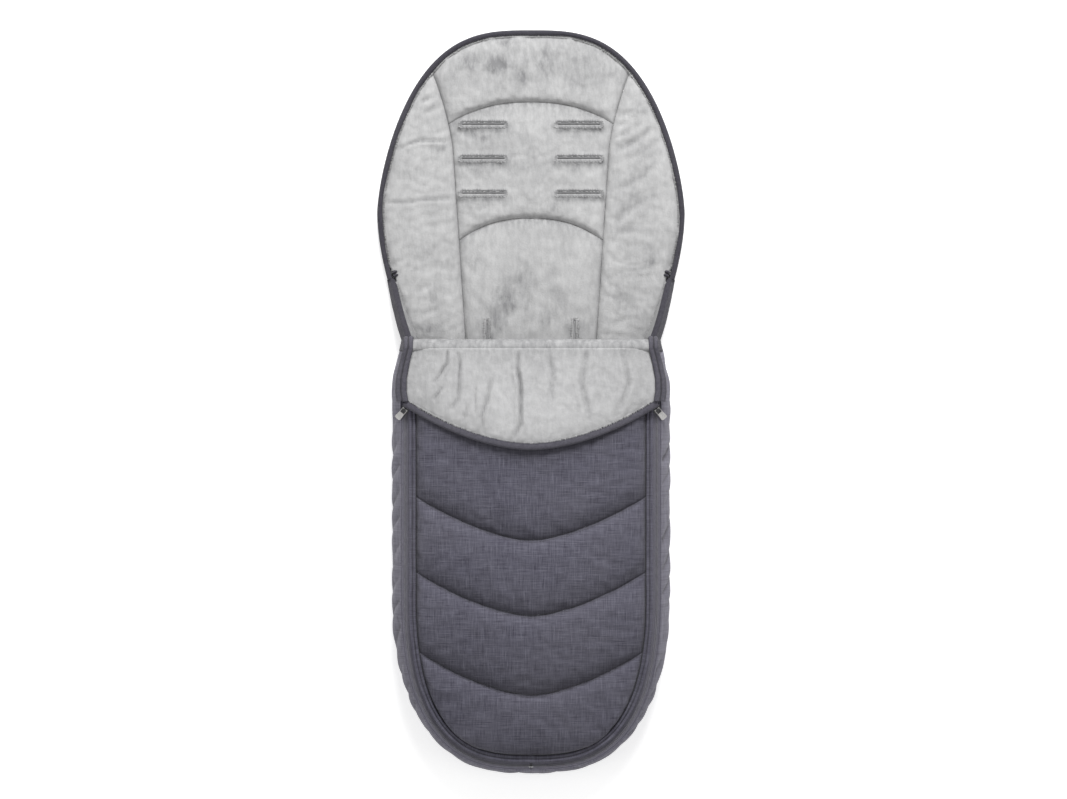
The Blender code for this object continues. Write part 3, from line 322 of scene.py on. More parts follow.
def bump(tree, surface, height, strength, distance):
    """Feed a height to the shader's normal."""
    made = tree.nodes.new("ShaderNodeBump")
    made.inputs["Strength"].default_value = strength
    made.inputs["Distance"].default_value = distance
    link(tree, height, made.inputs["Height"])
    link(tree, made.outputs["Normal"], surface.inputs["Normal"])


def coordinates(tree, kind):
    """The cloth's own metres (UV) or the object's."""
    return tree.nodes.new("ShaderNodeTexCoord").outputs[kind]


def nap_and_shade_in(tree):
    """What a piece keeps under the name nap_and_shade: painted shade on faces away from the light, in hollows, in
    creases and in other parts' shadows, and in places a darker pile.
    """
    made = tree.nodes.new("ShaderNodeAttribute")
    made.attribute_name = "nap_and_shade"
    return made.outputs["Fac"]


def melange(name, ground, dark, light):
    """Two-tone woven cloth."""
    made, tree, surface = new_finish(name, 0.92, sheen=0.12)
    cloth = coordinates(tree, "UV")
    weave = place_group(tree, SLUB_WEAVE, {"Cloth": cloth, "Ground": (*ground, 1), "Dark yarn": (*dark, 1),
                                           "Light yarn": (*light, 1)})
    dust_and_shade = place_group(tree, DUST_AND_SHADE, {"Place": coordinates(tree, "Object"), "Color": weave.outputs["Color"],
                                    "Amount": 0.10, "Shade": nap_and_shade_in(tree)})
    link(tree, dust_and_shade.outputs["Color"], surface.inputs["Base Color"])
    bump(tree, surface, weave.outputs["Height"], 0.5, 0.00035)
    return made


def plush(name, pile, shaded, patchiness):
    """Short-pile plush."""
    made, tree, surface = new_finish(name, 1.0, sheen=0.20, sheen_roughness=0.7)
    fur = place_group(tree, PLUSH_PILE, {"Place": coordinates(tree, "Object"), "Pile": (*pile, 1),
                                         "Shaded pile": (*shaded, 1), "Patchiness": patchiness,
                                         "Nap and shade": nap_and_shade_in(tree)})
    link(tree, fur.outputs["Color"], surface.inputs["Base Color"])
    bump(tree, surface, fur.outputs["Height"], 0.55, 0.0016)
    return made


def twill(name, thread, gap, spacing):
    """Ribbed binding tape."""
    made, tree, surface = new_finish(name, 0.88, sheen=0.08)
    ribs = place_group(tree, TWILL_RIB, {"Tape": coordinates(tree, "UV"), "Thread": (*thread, 1),
                                         "Gap": (*gap, 1), "Rib spacing": spacing})
    dust_and_shade = place_group(tree, DUST_AND_SHADE, {"Place": coordinates(tree, "Object"), "Color": ribs.outputs["Color"],
                                    "Amount": 0.08, "Shade": nap_and_shade_in(tree)})
    link(tree, dust_and_shade.outputs["Color"], surface.inputs["Base Color"])
    bump(tree, surface, ribs.outputs["Height"], 0.5, 0.0003)
    return made


# %% The finishes
MELANGE = melange("melange_cloth", (0.077, 0.074, 0.101), (0.032, 0.029, 0.046), (0.180, 0.178, 0.222))
WALL_MELANGE = melange("wall_cloth", (0.128, 0.123, 0.156), (0.066, 0.062, 0.086), (0.225, 0.220, 0.262))
LINER_PLUSH = plush("liner_plush", (0.495, 0.495, 0.495), (0.215, 0.215, 0.22), 0.30)
FLAP_PLUSH = plush("flap_plush", (0.475, 0.475, 0.478), (0.225, 0.225, 0.23), 0.25)
HEAD_TAPE = twill("head_tape", (0.068, 0.065, 0.080), (0.036, 0.034, 0.044), 0.0015)
HEM_TAPE = twill("hem_tape", (0.122, 0.118, 0.142), (0.066, 0.063, 0.080), 0.0013)
# The zip tape and coil are coloured lighter, to make up for the shade of the groove they lie in: painted light.
ZIP_TAPE_LIGHTENED = twill("zip_tape", (0.185, 0.180, 0.215), (0.125, 0.120, 0.150), 0.0010)
RIM_TAPE = twill("slot_rim", (0.26, 0.26, 0.265), (0.15, 0.15, 0.155), 0.0009)
COIL_LIGHTENED = twill("zip_coil", (0.27, 0.265, 0.30), (0.17, 0.165, 0.195), 0.0015)
THREAD = twill("sewing_thread", (0.13, 0.125, 0.15), (0.08, 0.078, 0.09), 0.0006)
PALE_THREAD = twill("pale_thread", (0.30, 0.30, 0.30), (0.20, 0.20, 0.20), 0.0006)
FLEECE = plush("wadding_fleece", (0.80, 0.80, 0.78), (0.62, 0.62, 0.60), 0.3)


def metal_finish(name, low, high):
    """Plated zinc with fine polishing marks."""
    made, tree, surface = new_finish(name, 0.28, metallic=1.0)
    place = coordinates(tree, "Object")
    marks = noise_at(tree, place, (900, 220, 900), 1.0, 3.0, 0.6)
    link(tree, mix_colour(tree, ramp_value(tree, marks, 0.3, 0.7), (*low, 1), (*high, 1)), surface.inputs["Base Color"])
    rough = ramp_value(tree, marks, -0.6, 2.2)
    link(tree, rough, surface.inputs["Roughness"])
    bump(tree, surface, marks, 0.15, 0.0001)
    return made


def floor_finish():
    """A pale matt floor."""
    made, tree, surface = new_finish("studio_floor", 0.9)
    cloud = noise_at(tree, coordinates(tree, "Object"), (0.7, 0.7, 0.7), 1.0, 2.0)
    link(tree, mix_colour(tree, cloud, (0.86, 0.86, 0.86, 1), (0.89, 0.89, 0.89, 1)), surface.inputs["Base Color"])
    surface.inputs["Emission Color"].default_value = (1, 1, 1, 1)
    surface.inputs["Emission Strength"].default_value = 0.50
    return made


NICKEL = metal_finish("nickel_plate", (0.70, 0.69, 0.68), (0.86, 0.85, 0.84))
GUNMETAL = metal_finish("gunmetal_plate", (0.10, 0.10, 0.105), (0.18, 0.18, 0.185))
floor_mesh = bpy.data.meshes.new("studio_floor")
floor_shape = bmesh.new()
bmesh.ops.create_grid(floor_shape, x_segments=1, y_segments=1, size=6)
floor_shape.to_mesh(floor_mesh)
floor_shape.free()
floor = bpy.data.objects.new("studio_floor", floor_mesh)
floor.location.z = -0.0004
floor_mesh.materials.append(floor_finish())
bpy.context.scene.collection.objects.link(floor)
print("finishes:", sorted(material.name for material in bpy.data.materials if material.use_nodes))

# %% [markdown]
# ## The plan curves
# Everything follows three curves in plan: the back's outer edge, the zip line that stands a
# little inside it, and the edge of the quilted apron inside that. They are worked out from the
# same sizes as the solids, as right-hand halves that run from the head down round the foot.

# %% Sizes
WIDE_Y, WAIST_Y = 0.253, 0.082
FOOT_Y, TAPER_Y = -0.494, -0.260
TAPE_END_Y, DROP_Y, FOLD_Y = 0.163, 0.015, 0.0695
HEAD_HALF, WAIST_HALF, BAG_HALF = 0.2075, 0.1645, 0.180
HEAD_DEPTH, SHOULDER_DEPTH, WAIST_DEPTH, FOOT_DEPTH = 0.247, 0.171, 0.070, 0.234
SIDE_HEIGHT, FOOT_HEIGHT, TAPE_END_HEIGHT = 0.066, 0.052, 0.0122
CLEAR = 0.0003
SHELL, LINER_LOW = 0.0012, 0.0078
FOLD_Z, ROLL_RADIUS, APRON_DROP = 0.072, 0.0117, 0.006
PANEL_INSET, SLIDER_SIDE = 0.0151, 0.0046
QUILT_SHARES, QUILT_RISE = (0.450, 0.627, 0.816), 0.056
FLAP_LENGTH, FLAP_SIDE_LENGTH, FLAP_HALF = 0.1245, 0.0678, 0.164
PANEL_BASE, APRON_THICKNESS = 0.0091, 0.012
STATIONS = 330
SIDES = ((-1, "left"), (1, "right"))


# %% Curve helpers
def mix(low, high, share):
    """A value between low and high, for numbers and arrays."""
    return low + (high - low) * share


def ease(share):
    """A share that starts and ends gently."""
    share = np.clip(share, 0, 1)
    return share * share * (3 - 2 * share)


def full_turn(corners):
    """Angles of evenly spaced corners round a circle."""
    return np.linspace(0, 2 * math.pi, corners + 1)[:-1]


def squared_off(wave, power):
    """A sine or cosine raised to a power, with its sign kept."""
    return np.sign(wave) * np.abs(wave) ** power


def run_of(points):
    """The length run at each point of a polyline."""
    return np.concatenate([[0], np.cumsum(np.linalg.norm(np.diff(points, axis=0), axis=1))])


def walk(points, shares):
    """Points and outward normals of a right-hand half curve at shares of its length."""
    run = run_of(points)
    wanted = np.clip(np.asarray(shares, float), 0, 1) * run[-1]
    step = 0.0015

    def read(at):
        return np.stack([np.interp(at, run, points[:, axis]) for axis in (0, 1)], axis=-1)

    along = read(np.minimum(wanted + step, run[-1])) - read(np.maximum(wanted - step, 0))
    along /= np.linalg.norm(along, axis=-1, keepdims=True)
    return read(wanted), np.stack([-along[..., 1], along[..., 0]], axis=-1)


def share_at_y(points, y):
    """The share of length at which a half curve comes down to y."""
    run = run_of(points)
    return np.interp(-y, -points[:, 1], run) / run[-1]


def x_at_y(points, y):
    """Distance from the middle line at y."""
    return np.interp(-np.asarray(y, float), -points[:, 1], points[:, 0])


def offset(points, inset):
    """A half curve drawn in by an inset at each point."""
    along = np.gradient(points, axis=0)
    along /= np.linalg.norm(along, axis=1, keepdims=True)
    moved = points - np.stack([-along[:, 1], along[:, 0]], axis=1) * np.reshape(inset, (-1, 1))
    moved[-1, 0] = 0
    return moved


def zip_height(y):
    """Height of the zip line."""
    fall = np.clip((y - DROP_Y) / (TAPE_END_Y - DROP_Y), 0, 1) ** 1.3
    side = mix(SIDE_HEIGHT, TAPE_END_HEIGHT, fall)
    foot = mix(SIDE_HEIGHT, FOOT_HEIGHT, ease((TAPER_Y - y) / FOOT_DEPTH))
    return np.where(y > DROP_Y, side, foot)


def zip_lean(y):
    """How far the zip line stands in from the back's edge."""
    upper = mix(0.0050, 0.0098, ease((y - FOLD_Y) / (TAPE_END_Y - FOLD_Y)))
    middle = mix(0.0130, 0.0050, ease((y - DROP_Y) / (FOLD_Y - DROP_Y)))
    lower = mix(0.0130, 0.0070, ease((TAPER_Y - y) / FOOT_DEPTH))
    return np.where(y > FOLD_Y, upper, np.where(y > DROP_Y, middle, lower))


# %% The three curves
def back_outline():
    """The right half of the back's edge."""
    t = np.linspace(0, 1, 161)
    turn = math.pi / 2 * t
    head = np.stack([HEAD_HALF * np.sin(turn) ** 0.66, WIDE_Y + HEAD_DEPTH * np.cos(turn).clip(0) ** (2 / 1.5)], 1)
    shoulder = np.stack([HEAD_HALF - (HEAD_HALF - WAIST_HALF) * t ** 1.75, WIDE_Y - SHOULDER_DEPTH * t], 1)
    waist = np.stack([mix(WAIST_HALF, BAG_HALF, ease(t)), WAIST_Y - WAIST_DEPTH * t], 1)
    foot = np.stack([BAG_HALF * np.cos(turn).clip(0) ** 0.72, TAPER_Y - FOOT_DEPTH * np.sin(turn) ** (2 / 2.2)], 1)
    foot[-1, 0] = 0
    return np.concatenate([head, shoulder[1:], waist[1:], foot])


BACK_EDGE = back_outline()
zip_shares = np.linspace(share_at_y(BACK_EDGE, TAPE_END_Y), 1, 481)
zip_points, zip_normals = walk(BACK_EDGE, zip_shares)
ZIP_LINE = zip_points - zip_normals * zip_lean(zip_points[:, 1])[:, None]
ZIP_LINE[-1, 0] = 0
QUILT_LINE = offset(ZIP_LINE, np.full(len(ZIP_LINE), PANEL_INSET))
print("zip line", round(run_of(ZIP_LINE)[-1], 3), "m a side; edge", round(run_of(BACK_EDGE)[-1], 3), "m")

# %% [markdown]
# ## From grids to cloth
# Each cloth piece starts as a grid of points, because a grid follows a piece's own warp and weft
# and keeps its seams where they are sewn. A grid becomes a mesh with its cloth coordinates in
# metres, so a weave has one scale everywhere. A pad is a top grid over a bottom grid, closed
# round the rim.


# %% Mesh helpers
def smooth_noise(points, size, seed):
    """Repeatable noise from -1 to 1 at points, over features of about a size in metres."""
    shift = Vector((seed * 3.17, seed * 1.73, seed * 0.71))
    flat = np.asarray(points).reshape(-1, np.shape(points)[-1])
    values = [noise.noise(Vector((*point, 0)[:3]) / size + shift) for point in flat]
    return np.reshape(values, np.shape(points)[:-1])


def make_piece(name, points, faces, finish, cloth_at):
    """A smooth object of a mesh, with its cloth coordinates read at each of its points."""
    mesh = bpy.data.meshes.new(name)
    mesh.from_pydata(points.tolist(), [], faces)
    shape = bmesh.new()
    shape.from_mesh(mesh)
    bmesh.ops.recalc_face_normals(shape, faces=shape.faces)
    layer = shape.loops.layers.uv.new("cloth")
    for face in shape.faces:
        for loop in face.loops:
            loop[layer].uv = cloth_at(loop.vert)
    shape.to_mesh(mesh)
    shape.free()
    mesh.shade_smooth()
    mesh.materials.append(finish)
    piece = bpy.data.objects.new(name, mesh)
    bpy.context.scene.collection.objects.link(piece)
    return piece


def mesh_from_grids(name, grids, finish, cloth=None, joined=True, around=False):
    """A mesh from one grid, or a closed one from a top and a bottom grid."""
    rows, columns = grids[0].shape[:2]
    points = np.concatenate([grid.reshape(-1, 3) for grid in grids])
    index = np.arange(rows * columns).reshape(rows, columns)
    if around:
        index = np.concatenate([index, index[:, :1]], axis=1)
    faces = np.stack([index[:-1, :-1], index[1:, :-1], index[1:, 1:], index[:-1, 1:]], axis=-1).reshape(-1, 4)
    faces = faces.tolist()
    if around and joined:
        faces += [index[0, :-1].tolist(), index[-1, :-1][::-1].tolist()]
    if len(grids) == 2:
        below = rows * columns
        faces += [[corner + below for corner in face[::-1]] for face in faces]
        rim = np.concatenate([index[0, :-1], index[:-1, -1], index[-1, :0:-1], index[:0:-1, 0]])
        for first, second in zip(rim, np.roll(rim, -1)):
            faces.append([int(first), int(second), int(second) + below, int(first) + below])
    metres = points[:, :2] if cloth is None else np.concatenate([np.reshape(cloth, (-1, 2))] * len(grids))
    return make_piece(name, points, faces, finish, lambda vert: metres[vert.index])


def dress(piece, body, *nodes, fill=None):
    if nodes:
        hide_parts(*nodes)
    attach(piece, body)
    return piece


def even(count):
    """Even shares from 0 to 1."""
    return np.linspace(0, 1, count + 1)


def edge_distances(grid):
    """Distance of each grid point from the first column, last column, first row and last row."""
    found = []
    for axis in (1, 0):
        gaps = np.linalg.norm(np.diff(grid[..., :2], axis=axis), axis=-1)
        pad = [(1, 0), (0, 0)] if axis == 0 else [(0, 0), (1, 0)]
        walked = np.cumsum(np.pad(gaps, pad), axis=axis)
        found += [walked, walked.max(axis=axis, keepdims=True) - walked]
    return found


def mesh_from_rings(name, rings, finish):
    """Many short closed tubes in one mesh: rings is (tube, ring, corner, place)."""
    stations, corners = rings.shape[1:3]
    index = np.arange(stations * corners).reshape(stations, corners)
    faces = [[index[ring, corner], index[ring, (corner + 1) % corners], index[ring + 1, (corner + 1) % corners],
              index[ring + 1, corner]] for ring in range(stations - 1) for corner in range(corners)]
    faces += [index[0, ::-1], index[-1]]
    places = rings.reshape(-1, 3)
    faces = [[int(corner) + base for corner in face] for base in range(0, len(places), index.size) for face in faces]
    return make_piece(name, places, faces, finish, lambda vert: (vert.co.x + vert.co.y, vert.co.z))


def unit(vectors):
    """Vectors brought to length 1."""
    return vectors / np.maximum(np.linalg.norm(vectors, axis=-1, keepdims=True), 1e-12)


def at_run(path, run, wanted):
    """Places along a path in space."""
    return np.stack([np.interp(wanted, run, path[:, axis]) for axis in range(3)], axis=-1)


def stitches(name, paths, body, finish, pitch=0.0036, length=0.0025, radius=0.00032):
    """Rows of thread stitches along paths, each stitch a bowed capsule half sunk in the cloth."""
    share = np.linspace(0, 1, 5)
    centre = []
    for path in paths:
        run = run_of(path)
        count = max(2, int(run[-1] / pitch))
        start = (np.arange(count) + 0.15) * run[-1] / count
        centre.append(at_run(path, run, start[:, None] + length * share))
    centre = np.concatenate(centre)
    along = unit(centre[:, -1] - centre[:, 0])
    side = unit(np.cross(along, (0.0, 0.0, 1.0)))
    up = np.cross(side, along)
    centre = centre + up[:, None] * (radius * np.sin(math.pi * share))[:, None]
    turn = full_turn(6)
    round_side = side[:, None, None] * np.cos(turn)[:, None] + up[:, None, None] * np.sin(turn)[:, None]
    thick = radius * np.array([0.35, 0.9, 1.0, 0.9, 0.35])
    rings = centre[:, :, None] + round_side * thick[:, None, None]
    return dress(mesh_from_rings(name, rings, finish), body)


def fringe(name, path, lean, body, finish, length=0.0034, pitch=0.0011, seed=51, nap_and_shade=0.0):
    """Tufts of pile that spill over an edge and droop, darker where nap_and_shade asks for painted shade along the
    path.
    """
    chance = np.random.default_rng(seed)
    run = run_of(path)
    count = int(run[-1] / pitch)
    at = (np.arange(count) + chance.uniform(0.1, 0.9, count)) * run[-1] / count
    base = at_run(path, run, at)
    along = unit(at_run(path, run, at + 0.0005) - at_run(path, run, at - 0.0005))
    fall = unit(at_run(lean, run, at) + along * chance.uniform(-0.6, 0.6, (count, 1)))
    size = length * chance.uniform(0.5, 1.25, (count, 1, 1))
    share = np.array([0, 0.35, 0.7, 1.0])[None, :, None]
    up = np.array([0.0, 0.0, 1.0])
    centre = base[:, None] + size * (fall[:, None] * share + up * (0.30 * share - 0.55 * share ** 2))
    turn = full_turn(5)
    ring = along[:, None, None] * np.cos(turn)[:, None] + up * np.sin(turn)[:, None]
    thick = 0.00075 * np.array([1, 0.9, 0.55, 0.08])[None, :, None, None] * chance.uniform(0.7, 1.3, (count, 1, 1, 1))
    piece = mesh_from_rings(name, centre[:, :, None] + ring * thick, finish)
    darker = np.interp(at, run, nap_and_shade + np.zeros(len(run)))[:, None]
    shades = np.repeat(chance.uniform(0.0, 0.45, (count, 1)) + darker, 20, axis=1)
    brush(piece, shades)
    return dress(piece, body)


def brush(piece, nap_and_shade):
    """Keep a darkening from 0 to 1, mostly painted shade, under the name nap_and_shade on the first points of a piece.
    """
    values = np.zeros(len(piece.data.vertices), np.float32)
    values[:nap_and_shade.size] = np.clip(nap_and_shade, 0, 1).ravel()
    piece.data.attributes.new("nap_and_shade", "FLOAT", "POINT").data.foreach_set("value", values)


def round_over(distance, reach):
    """0 at a seam, 1 well away from it, with a full shoulder."""
    return 1 - np.exp(-distance / reach)


def pillow(across, along):
    """How full the solid pads are, 0 at their edges and 1 in the middle."""
    return (1 - np.abs(2 * across - 1) ** 2) * (1 - np.abs(2 * along - 1) ** 2)


def crease(points, path, width, depth):
    """A groove along a path in plan, which fades toward both ends."""
    path = np.array(path, float)
    place = points[..., None, :2]
    start, end = path[:-1], path[1:]
    along = end - start
    share = np.clip(((place - start) * along).sum(-1) / (along ** 2).sum(-1), 0, 1)
    gap = np.linalg.norm(place - start - along * share[..., None], axis=-1)
    nearest = gap.argmin(axis=-1)
    run = run_of(path)
    at = (run[nearest] + np.take_along_axis(share, nearest[..., None], -1)[..., 0] * np.diff(run)[nearest]) / run[-1]
    closest = gap.min(axis=-1)
    groove = np.exp(-(closest / width) ** 2) - 0.45 * np.exp(-((closest - 2.2 * width) / width) ** 2)
    return -depth * groove * np.sqrt(np.clip(4 * at * (1 - at), 0, 1))


def from_pixels(*pixels):
    """Plan points in metres that belong to places seen in the photograph."""
    return [((x - CENTRE_PIXEL[0]) * PIXEL, (CENTRE_PIXEL[1] - y) * PIXEL) for x, y in pixels]


# %% [markdown]
# ## Letting the cloth find its own shape
# Real quilting wrinkles because a flat cover is sewn down along lines while the filling pushes it
# up between them. The same is done here: the cover of a pad is held at its seams, made a little
# larger than its frame, and pushed up from below, and the cloth solver finds where it buckles.
# Gravity is off, and no point may move further than a cap, so a pad keeps the size it was cut to.


# %% Cloth solver
def settle(grid, held, pressure=3.0, spare=0.03, cap=0.005, bending=0.4, hold=0.12, frames=20):
    """A grid after its cover has been blown up between its held points."""
    rows, columns = grid.shape[:2]
    index = np.arange(rows * columns).reshape(rows, columns)
    faces = np.stack([index[:-1, :-1], index[:-1, 1:], index[1:, 1:], index[1:, :-1]], axis=-1).reshape(-1, 4)
    flat = grid.reshape(-1, 3)
    mesh = bpy.data.meshes.new("cover")
    start = flat.copy()
    start[:, 2] += 0.0006 * smooth_noise(flat, 0.012, 5).ravel() * (~held.ravel())
    mesh.from_pydata(start.tolist(), [], faces.tolist())
    mesh.update()
    if mesh.polygons[len(mesh.polygons) // 2].normal.z < 0:
        mesh.flip_normals()
    cover = bpy.data.objects.new("cover", mesh)
    bpy.context.scene.collection.objects.link(cover)
    group = cover.vertex_groups.new(name="hold")
    group.add([int(i) for i in np.flatnonzero(held.ravel())], 1.0, "REPLACE")
    group.add([int(i) for i in np.flatnonzero(~held.ravel())], hold, "REPLACE")
    cloth = cover.modifiers.new("cloth", "CLOTH")
    solver = cloth.settings
    solver.quality = 5
    solver.mass = 0.2
    solver.air_damping = 2.0
    solver.tension_stiffness = solver.compression_stiffness = 18
    solver.shear_stiffness = 6
    solver.bending_stiffness = bending
    solver.vertex_group_mass = "hold"
    solver.pin_stiffness = 1.0
    solver.shrink_min = -spare
    solver.use_pressure = True
    solver.uniform_pressure_force = pressure
    solver.effector_weights.gravity = 0
    cloth.collision_settings.use_collision = False
    cloth.point_cache.frame_start, cloth.point_cache.frame_end = 1, frames
    scene = bpy.context.scene
    for number in range(1, frames + 1):
        scene.frame_set(number)
    shaped = cover.evaluated_get(bpy.context.evaluated_depsgraph_get()).to_mesh()
    found = np.empty(len(flat) * 3)
    shaped.vertices.foreach_get("co", found)
    moved = found.reshape(-1, 3) - flat
    length = np.linalg.norm(moved, axis=1, keepdims=True)
    moved *= np.minimum(1, cap / np.maximum(length, 1e-9))
    moved[held.ravel()] = 0
    scene.frame_set(1)
    bpy.data.objects.remove(cover)
    bpy.data.meshes.remove(mesh)
    print("settled", rows, "x", columns, "points; largest move", round(float(length.max()) * 1000, 1), "mm")
    return (flat + moved).reshape(grid.shape)


def rim_mask(grid):
    """The outer ring of a grid's points."""
    held = np.zeros(grid.shape[:2], bool)
    held[0, :] = held[-1, :] = held[:, 0] = held[:, -1] = True
    return held


# %% [markdown]
# ## The back: cloth below, filling, and the plush liner
# The liner is cut in five pieces: a head piece, a chest piece, a seat piece, and one long side
# piece each side. The long seams curve in from the shoulders to the waist, and the two cross
# seams sag toward the middle. Each piece is a pad of its own, so every seam is a real valley
# with a rounded shoulder on either side of it.

# %% Liner outlines
CHEST_SEAM_Y, SEAT_SEAM_Y, JOIN_Y = 0.403, 0.246, 0.455
LINER_EDGE, LINER_CROWN, BAG_INSET, HEAD_INSET = 0.0024, 0.0072, 0.0112, 0.0017
SLOT_YS, SLOT_X, SEAT_SLOT, SLOT_SIZE = (0.372, 0.326, 0.279), 0.0645, (0.0590, 0.079), (0.0640, 0.0080)


def layer_inset(y):
    """How far the filling and liner stop short of the back's edge."""
    return mix(HEAD_INSET, BAG_INSET, ease((TAPE_END_Y + 0.029 - y) / 0.025))


def seam_half(y):
    """Half width between the two long seams."""
    y = np.asarray(y, float)
    share = (y - 0.340) / 0.115
    return np.where(y < 0.340, mix(0.1053, 0.0877, (0.340 - y) / 0.265), mix(0.1053, 0.138, share * (share + 1) / 2))


LAYER_EDGE = offset(BACK_EDGE, layer_inset(BACK_EDGE[:, 1]))
LAYER_EDGE[0, 0] = 0


def edge_y(curve, x, head):
    """Height in plan of a curve's head or foot end at a distance from the middle."""
    widest = curve[:, 0].argmax()
    if head:
        half = curve[:widest + 1]
        return np.interp(x, half[:, 0], half[:, 1])
    lowest = curve[curve[:, 1] < TAPER_Y + 0.05]
    return np.interp(x, lowest[::-1, 0], lowest[::-1, 1])


def slots():
    """Name, middle, half length across x and y of every harness slot."""
    made = []
    for side, word in SIDES:
        for number, y in enumerate(SLOT_YS, 1):
            made.append((f"chest_slot_{word}_{number}", (side * SLOT_X, y), True))
        made.append((f"seat_slot_{word}", (side * SEAT_SLOT[0], SEAT_SLOT[1]), False))
    return made


def slot_distance(points):
    """Distance in plan from each point to the nearest slot's edge, less than nothing inside one."""
    least = np.full(points.shape[:-1], 1.0)
    reach = (SLOT_SIZE[0] - SLOT_SIZE[1]) / 2
    for _, centre, along_x in slots():
        offset_xy = points[..., :2] - centre
        run, side = (offset_xy[..., 0], offset_xy[..., 1]) if along_x else (offset_xy[..., 1], offset_xy[..., 0])
        gap = np.hypot(np.maximum(np.abs(run) - reach, 0), side) - SLOT_SIZE[1] / 2
        least = np.minimum(least, gap)
    return least


def centre_plan(upper_at, lower_at, top_y, low_y, cells):
    """A grid in plan between the long seams, from one cross seam to the next."""
    shares = np.linspace(-1, 1, cells[1] + 1)
    along = even(cells[0])[:, None]
    end_y = mix(top_y, low_y, along)
    upper = upper_at(np.abs(shares)) - upper_at(np.ones(1))
    lower = lower_at(np.abs(shares)) - lower_at(np.ones(1))
    return np.stack([shares * seam_half(end_y), end_y + mix(upper, lower, along)], axis=-1)


def side_plan(side, cells):
    """A grid in plan between a long seam and the back's edge."""
    shares = np.linspace(0, 1, 4001)
    points, _ = walk(LAYER_EDGE, shares)
    wide = np.flatnonzero(points[:, 0] - seam_half(points[:, 1]) > 0.0030)
    points, _ = walk(LAYER_EDGE, np.linspace(shares[wide[0]], shares[wide[-1]], cells[0] + 1))
    seam = seam_half(points[:, 1])[:, None] + CLEAR
    across = even(cells[1])
    y = np.broadcast_to(points[:, 1:], (cells[0] + 1, cells[1] + 1))
    return np.stack([side * mix(seam, points[:, :1], across), y], axis=-1)


# %% Liner pads
PAD_CREASES = {
    "liner_head_panel": [(from_pixels((499, 60), (503, 72)), 0.004, 0.0016),
                         (from_pixels((520, 70), (525, 84)), 0.004, 0.0016),
                         (from_pixels((525, 50), (526, 73)), 0.003, 0.0010),
                         (from_pixels((497, 48), (512, 40)), 0.005, 0.0012)],
    "liner_chest_panel": [(from_pixels((482, 144), (495, 137)), 0.003, 0.0012),
                          (from_pixels((520, 122), (540, 175)), 0.012, 0.0008)],
    "liner_seat_panel": [(from_pixels((504, 292), (506, 338)), 0.006, 0.0016),
                         (from_pixels((528, 262), (526, 345)), 0.009, 0.0010),
                         (from_pixels((553, 262), (556, 345)), 0.009, 0.0008)],
    "liner_side_left": [(from_pixels((416, 106), (426, 101), (439, 96)), 0.0030, 0.0020),
                        (from_pixels((424, 114), (438, 109)), 0.0030, 0.0014),
                        (from_pixels((400, 150), (410, 145), (422, 142), (454, 142)), 0.0021, 0.0028),
                        (from_pixels((380, 203), (407, 204), (422, 201), (458, 199)), 0.0021, 0.0024),
                        (from_pixels((404, 300), (420, 292), (440, 282)), 0.0034, 0.0006),
                        (from_pixels((408, 324), (428, 314), (448, 308)), 0.0034, 0.0006)],
    "liner_side_right": [(from_pixels((612, 152), (627, 147), (638, 141), (652, 129)), 0.0042, 0.0020),
                         (from_pixels((609, 141), (620, 136), (630, 134)), 0.0026, 0.0014),
                         (from_pixels((614, 120), (622, 117), (634, 112)), 0.0026, 0.0013),
                         (from_pixels((616, 127), (626, 124)), 0.0024, 0.0011),
                         (from_pixels((616, 192), (627, 185), (644, 176), (660, 160)), 0.0044, 0.0017),
                         (from_pixels((609, 236), (623, 215), (636, 204), (656, 195)), 0.0050, 0.0020),
                         (from_pixels((604, 250), (618, 234), (631, 230), (655, 236)), 0.0045, 0.0015),
                         (from_pixels((610, 280), (625, 271), (644, 270)), 0.0034, 0.0009),
                         (from_pixels((606, 296), (621, 300), (636, 311)), 0.0038, 0.0008)],
}


BRUSHED_AND_SHADED_SPOTS = [
    ((499, 66), 13, 10, 0.9), ((523, 79), 9, 8, 0.8), ((506, 44), 13, 8, 0.6), ((470, 64), 14, 12, 0.35),
    ((545, 60), 12, 22, 0.30), ((575, 84), 14, 10, 0.35), ((455, 136), 10, 8, 0.5), ((484, 140), 14, 8, 0.4),
    ((470, 134), 16, 8, 0.5), ((515, 170), 16, 12, 0.30), ((474, 170), 16, 7, 0.5), ((575, 134), 18, 8, 0.35),
    ((573, 170), 16, 7, 0.35), ((480, 206), 14, 7, 0.4), ((556, 206), 10, 8, 0.5), ((538, 222), 22, 7, 0.35),
    ((506, 300), 14, 26, 0.8), ((497, 322), 14, 14, 0.8), ((520, 285), 8, 18, 0.45), ((478, 262), 12, 16, 0.35),
    ((545, 320), 10, 20, 0.45), ((560, 300), 9, 20, 0.35), ((427, 330), 16, 6, 0.6), ((434, 300), 10, 16, 0.4),
    ((425, 250), 18, 12, 0.25), ((420, 170), 22, 14, 0.20), ((640, 150), 20, 10, 0.30), ((632, 200), 16, 26, 0.25),
    ((650, 262), 10, 16, 0.5), ((622, 300), 12, 22, 0.35), ((440, 150), 10, 6, 0.4), ((640, 112), 14, 8, 0.3),
]


def brushed_and_shaded(points):
    """How far the pile lies over and is painted in shade at points in plan: a handful of listed spots with ragged
    edges, most of them in and round the creases.
    """
    ragged = smooth_noise(points[..., :2], 0.007, 41) * 0.4 + smooth_noise(points[..., :2], 0.022, 42) * 0.6
    total = np.zeros(points.shape[:-1])
    for middle, wide, high, strength in BRUSHED_AND_SHADED_SPOTS:
        x, y = from_pixels(middle)[0]
        gap = np.hypot((points[..., 0] - x) / (wide * PIXEL), (points[..., 1] - y) / (high * PIXEL))
        total = np.maximum(total, 0.8 * strength * np.clip(1.2 - gap + 0.6 * ragged, 0, 1) ** 1.5)
    return total


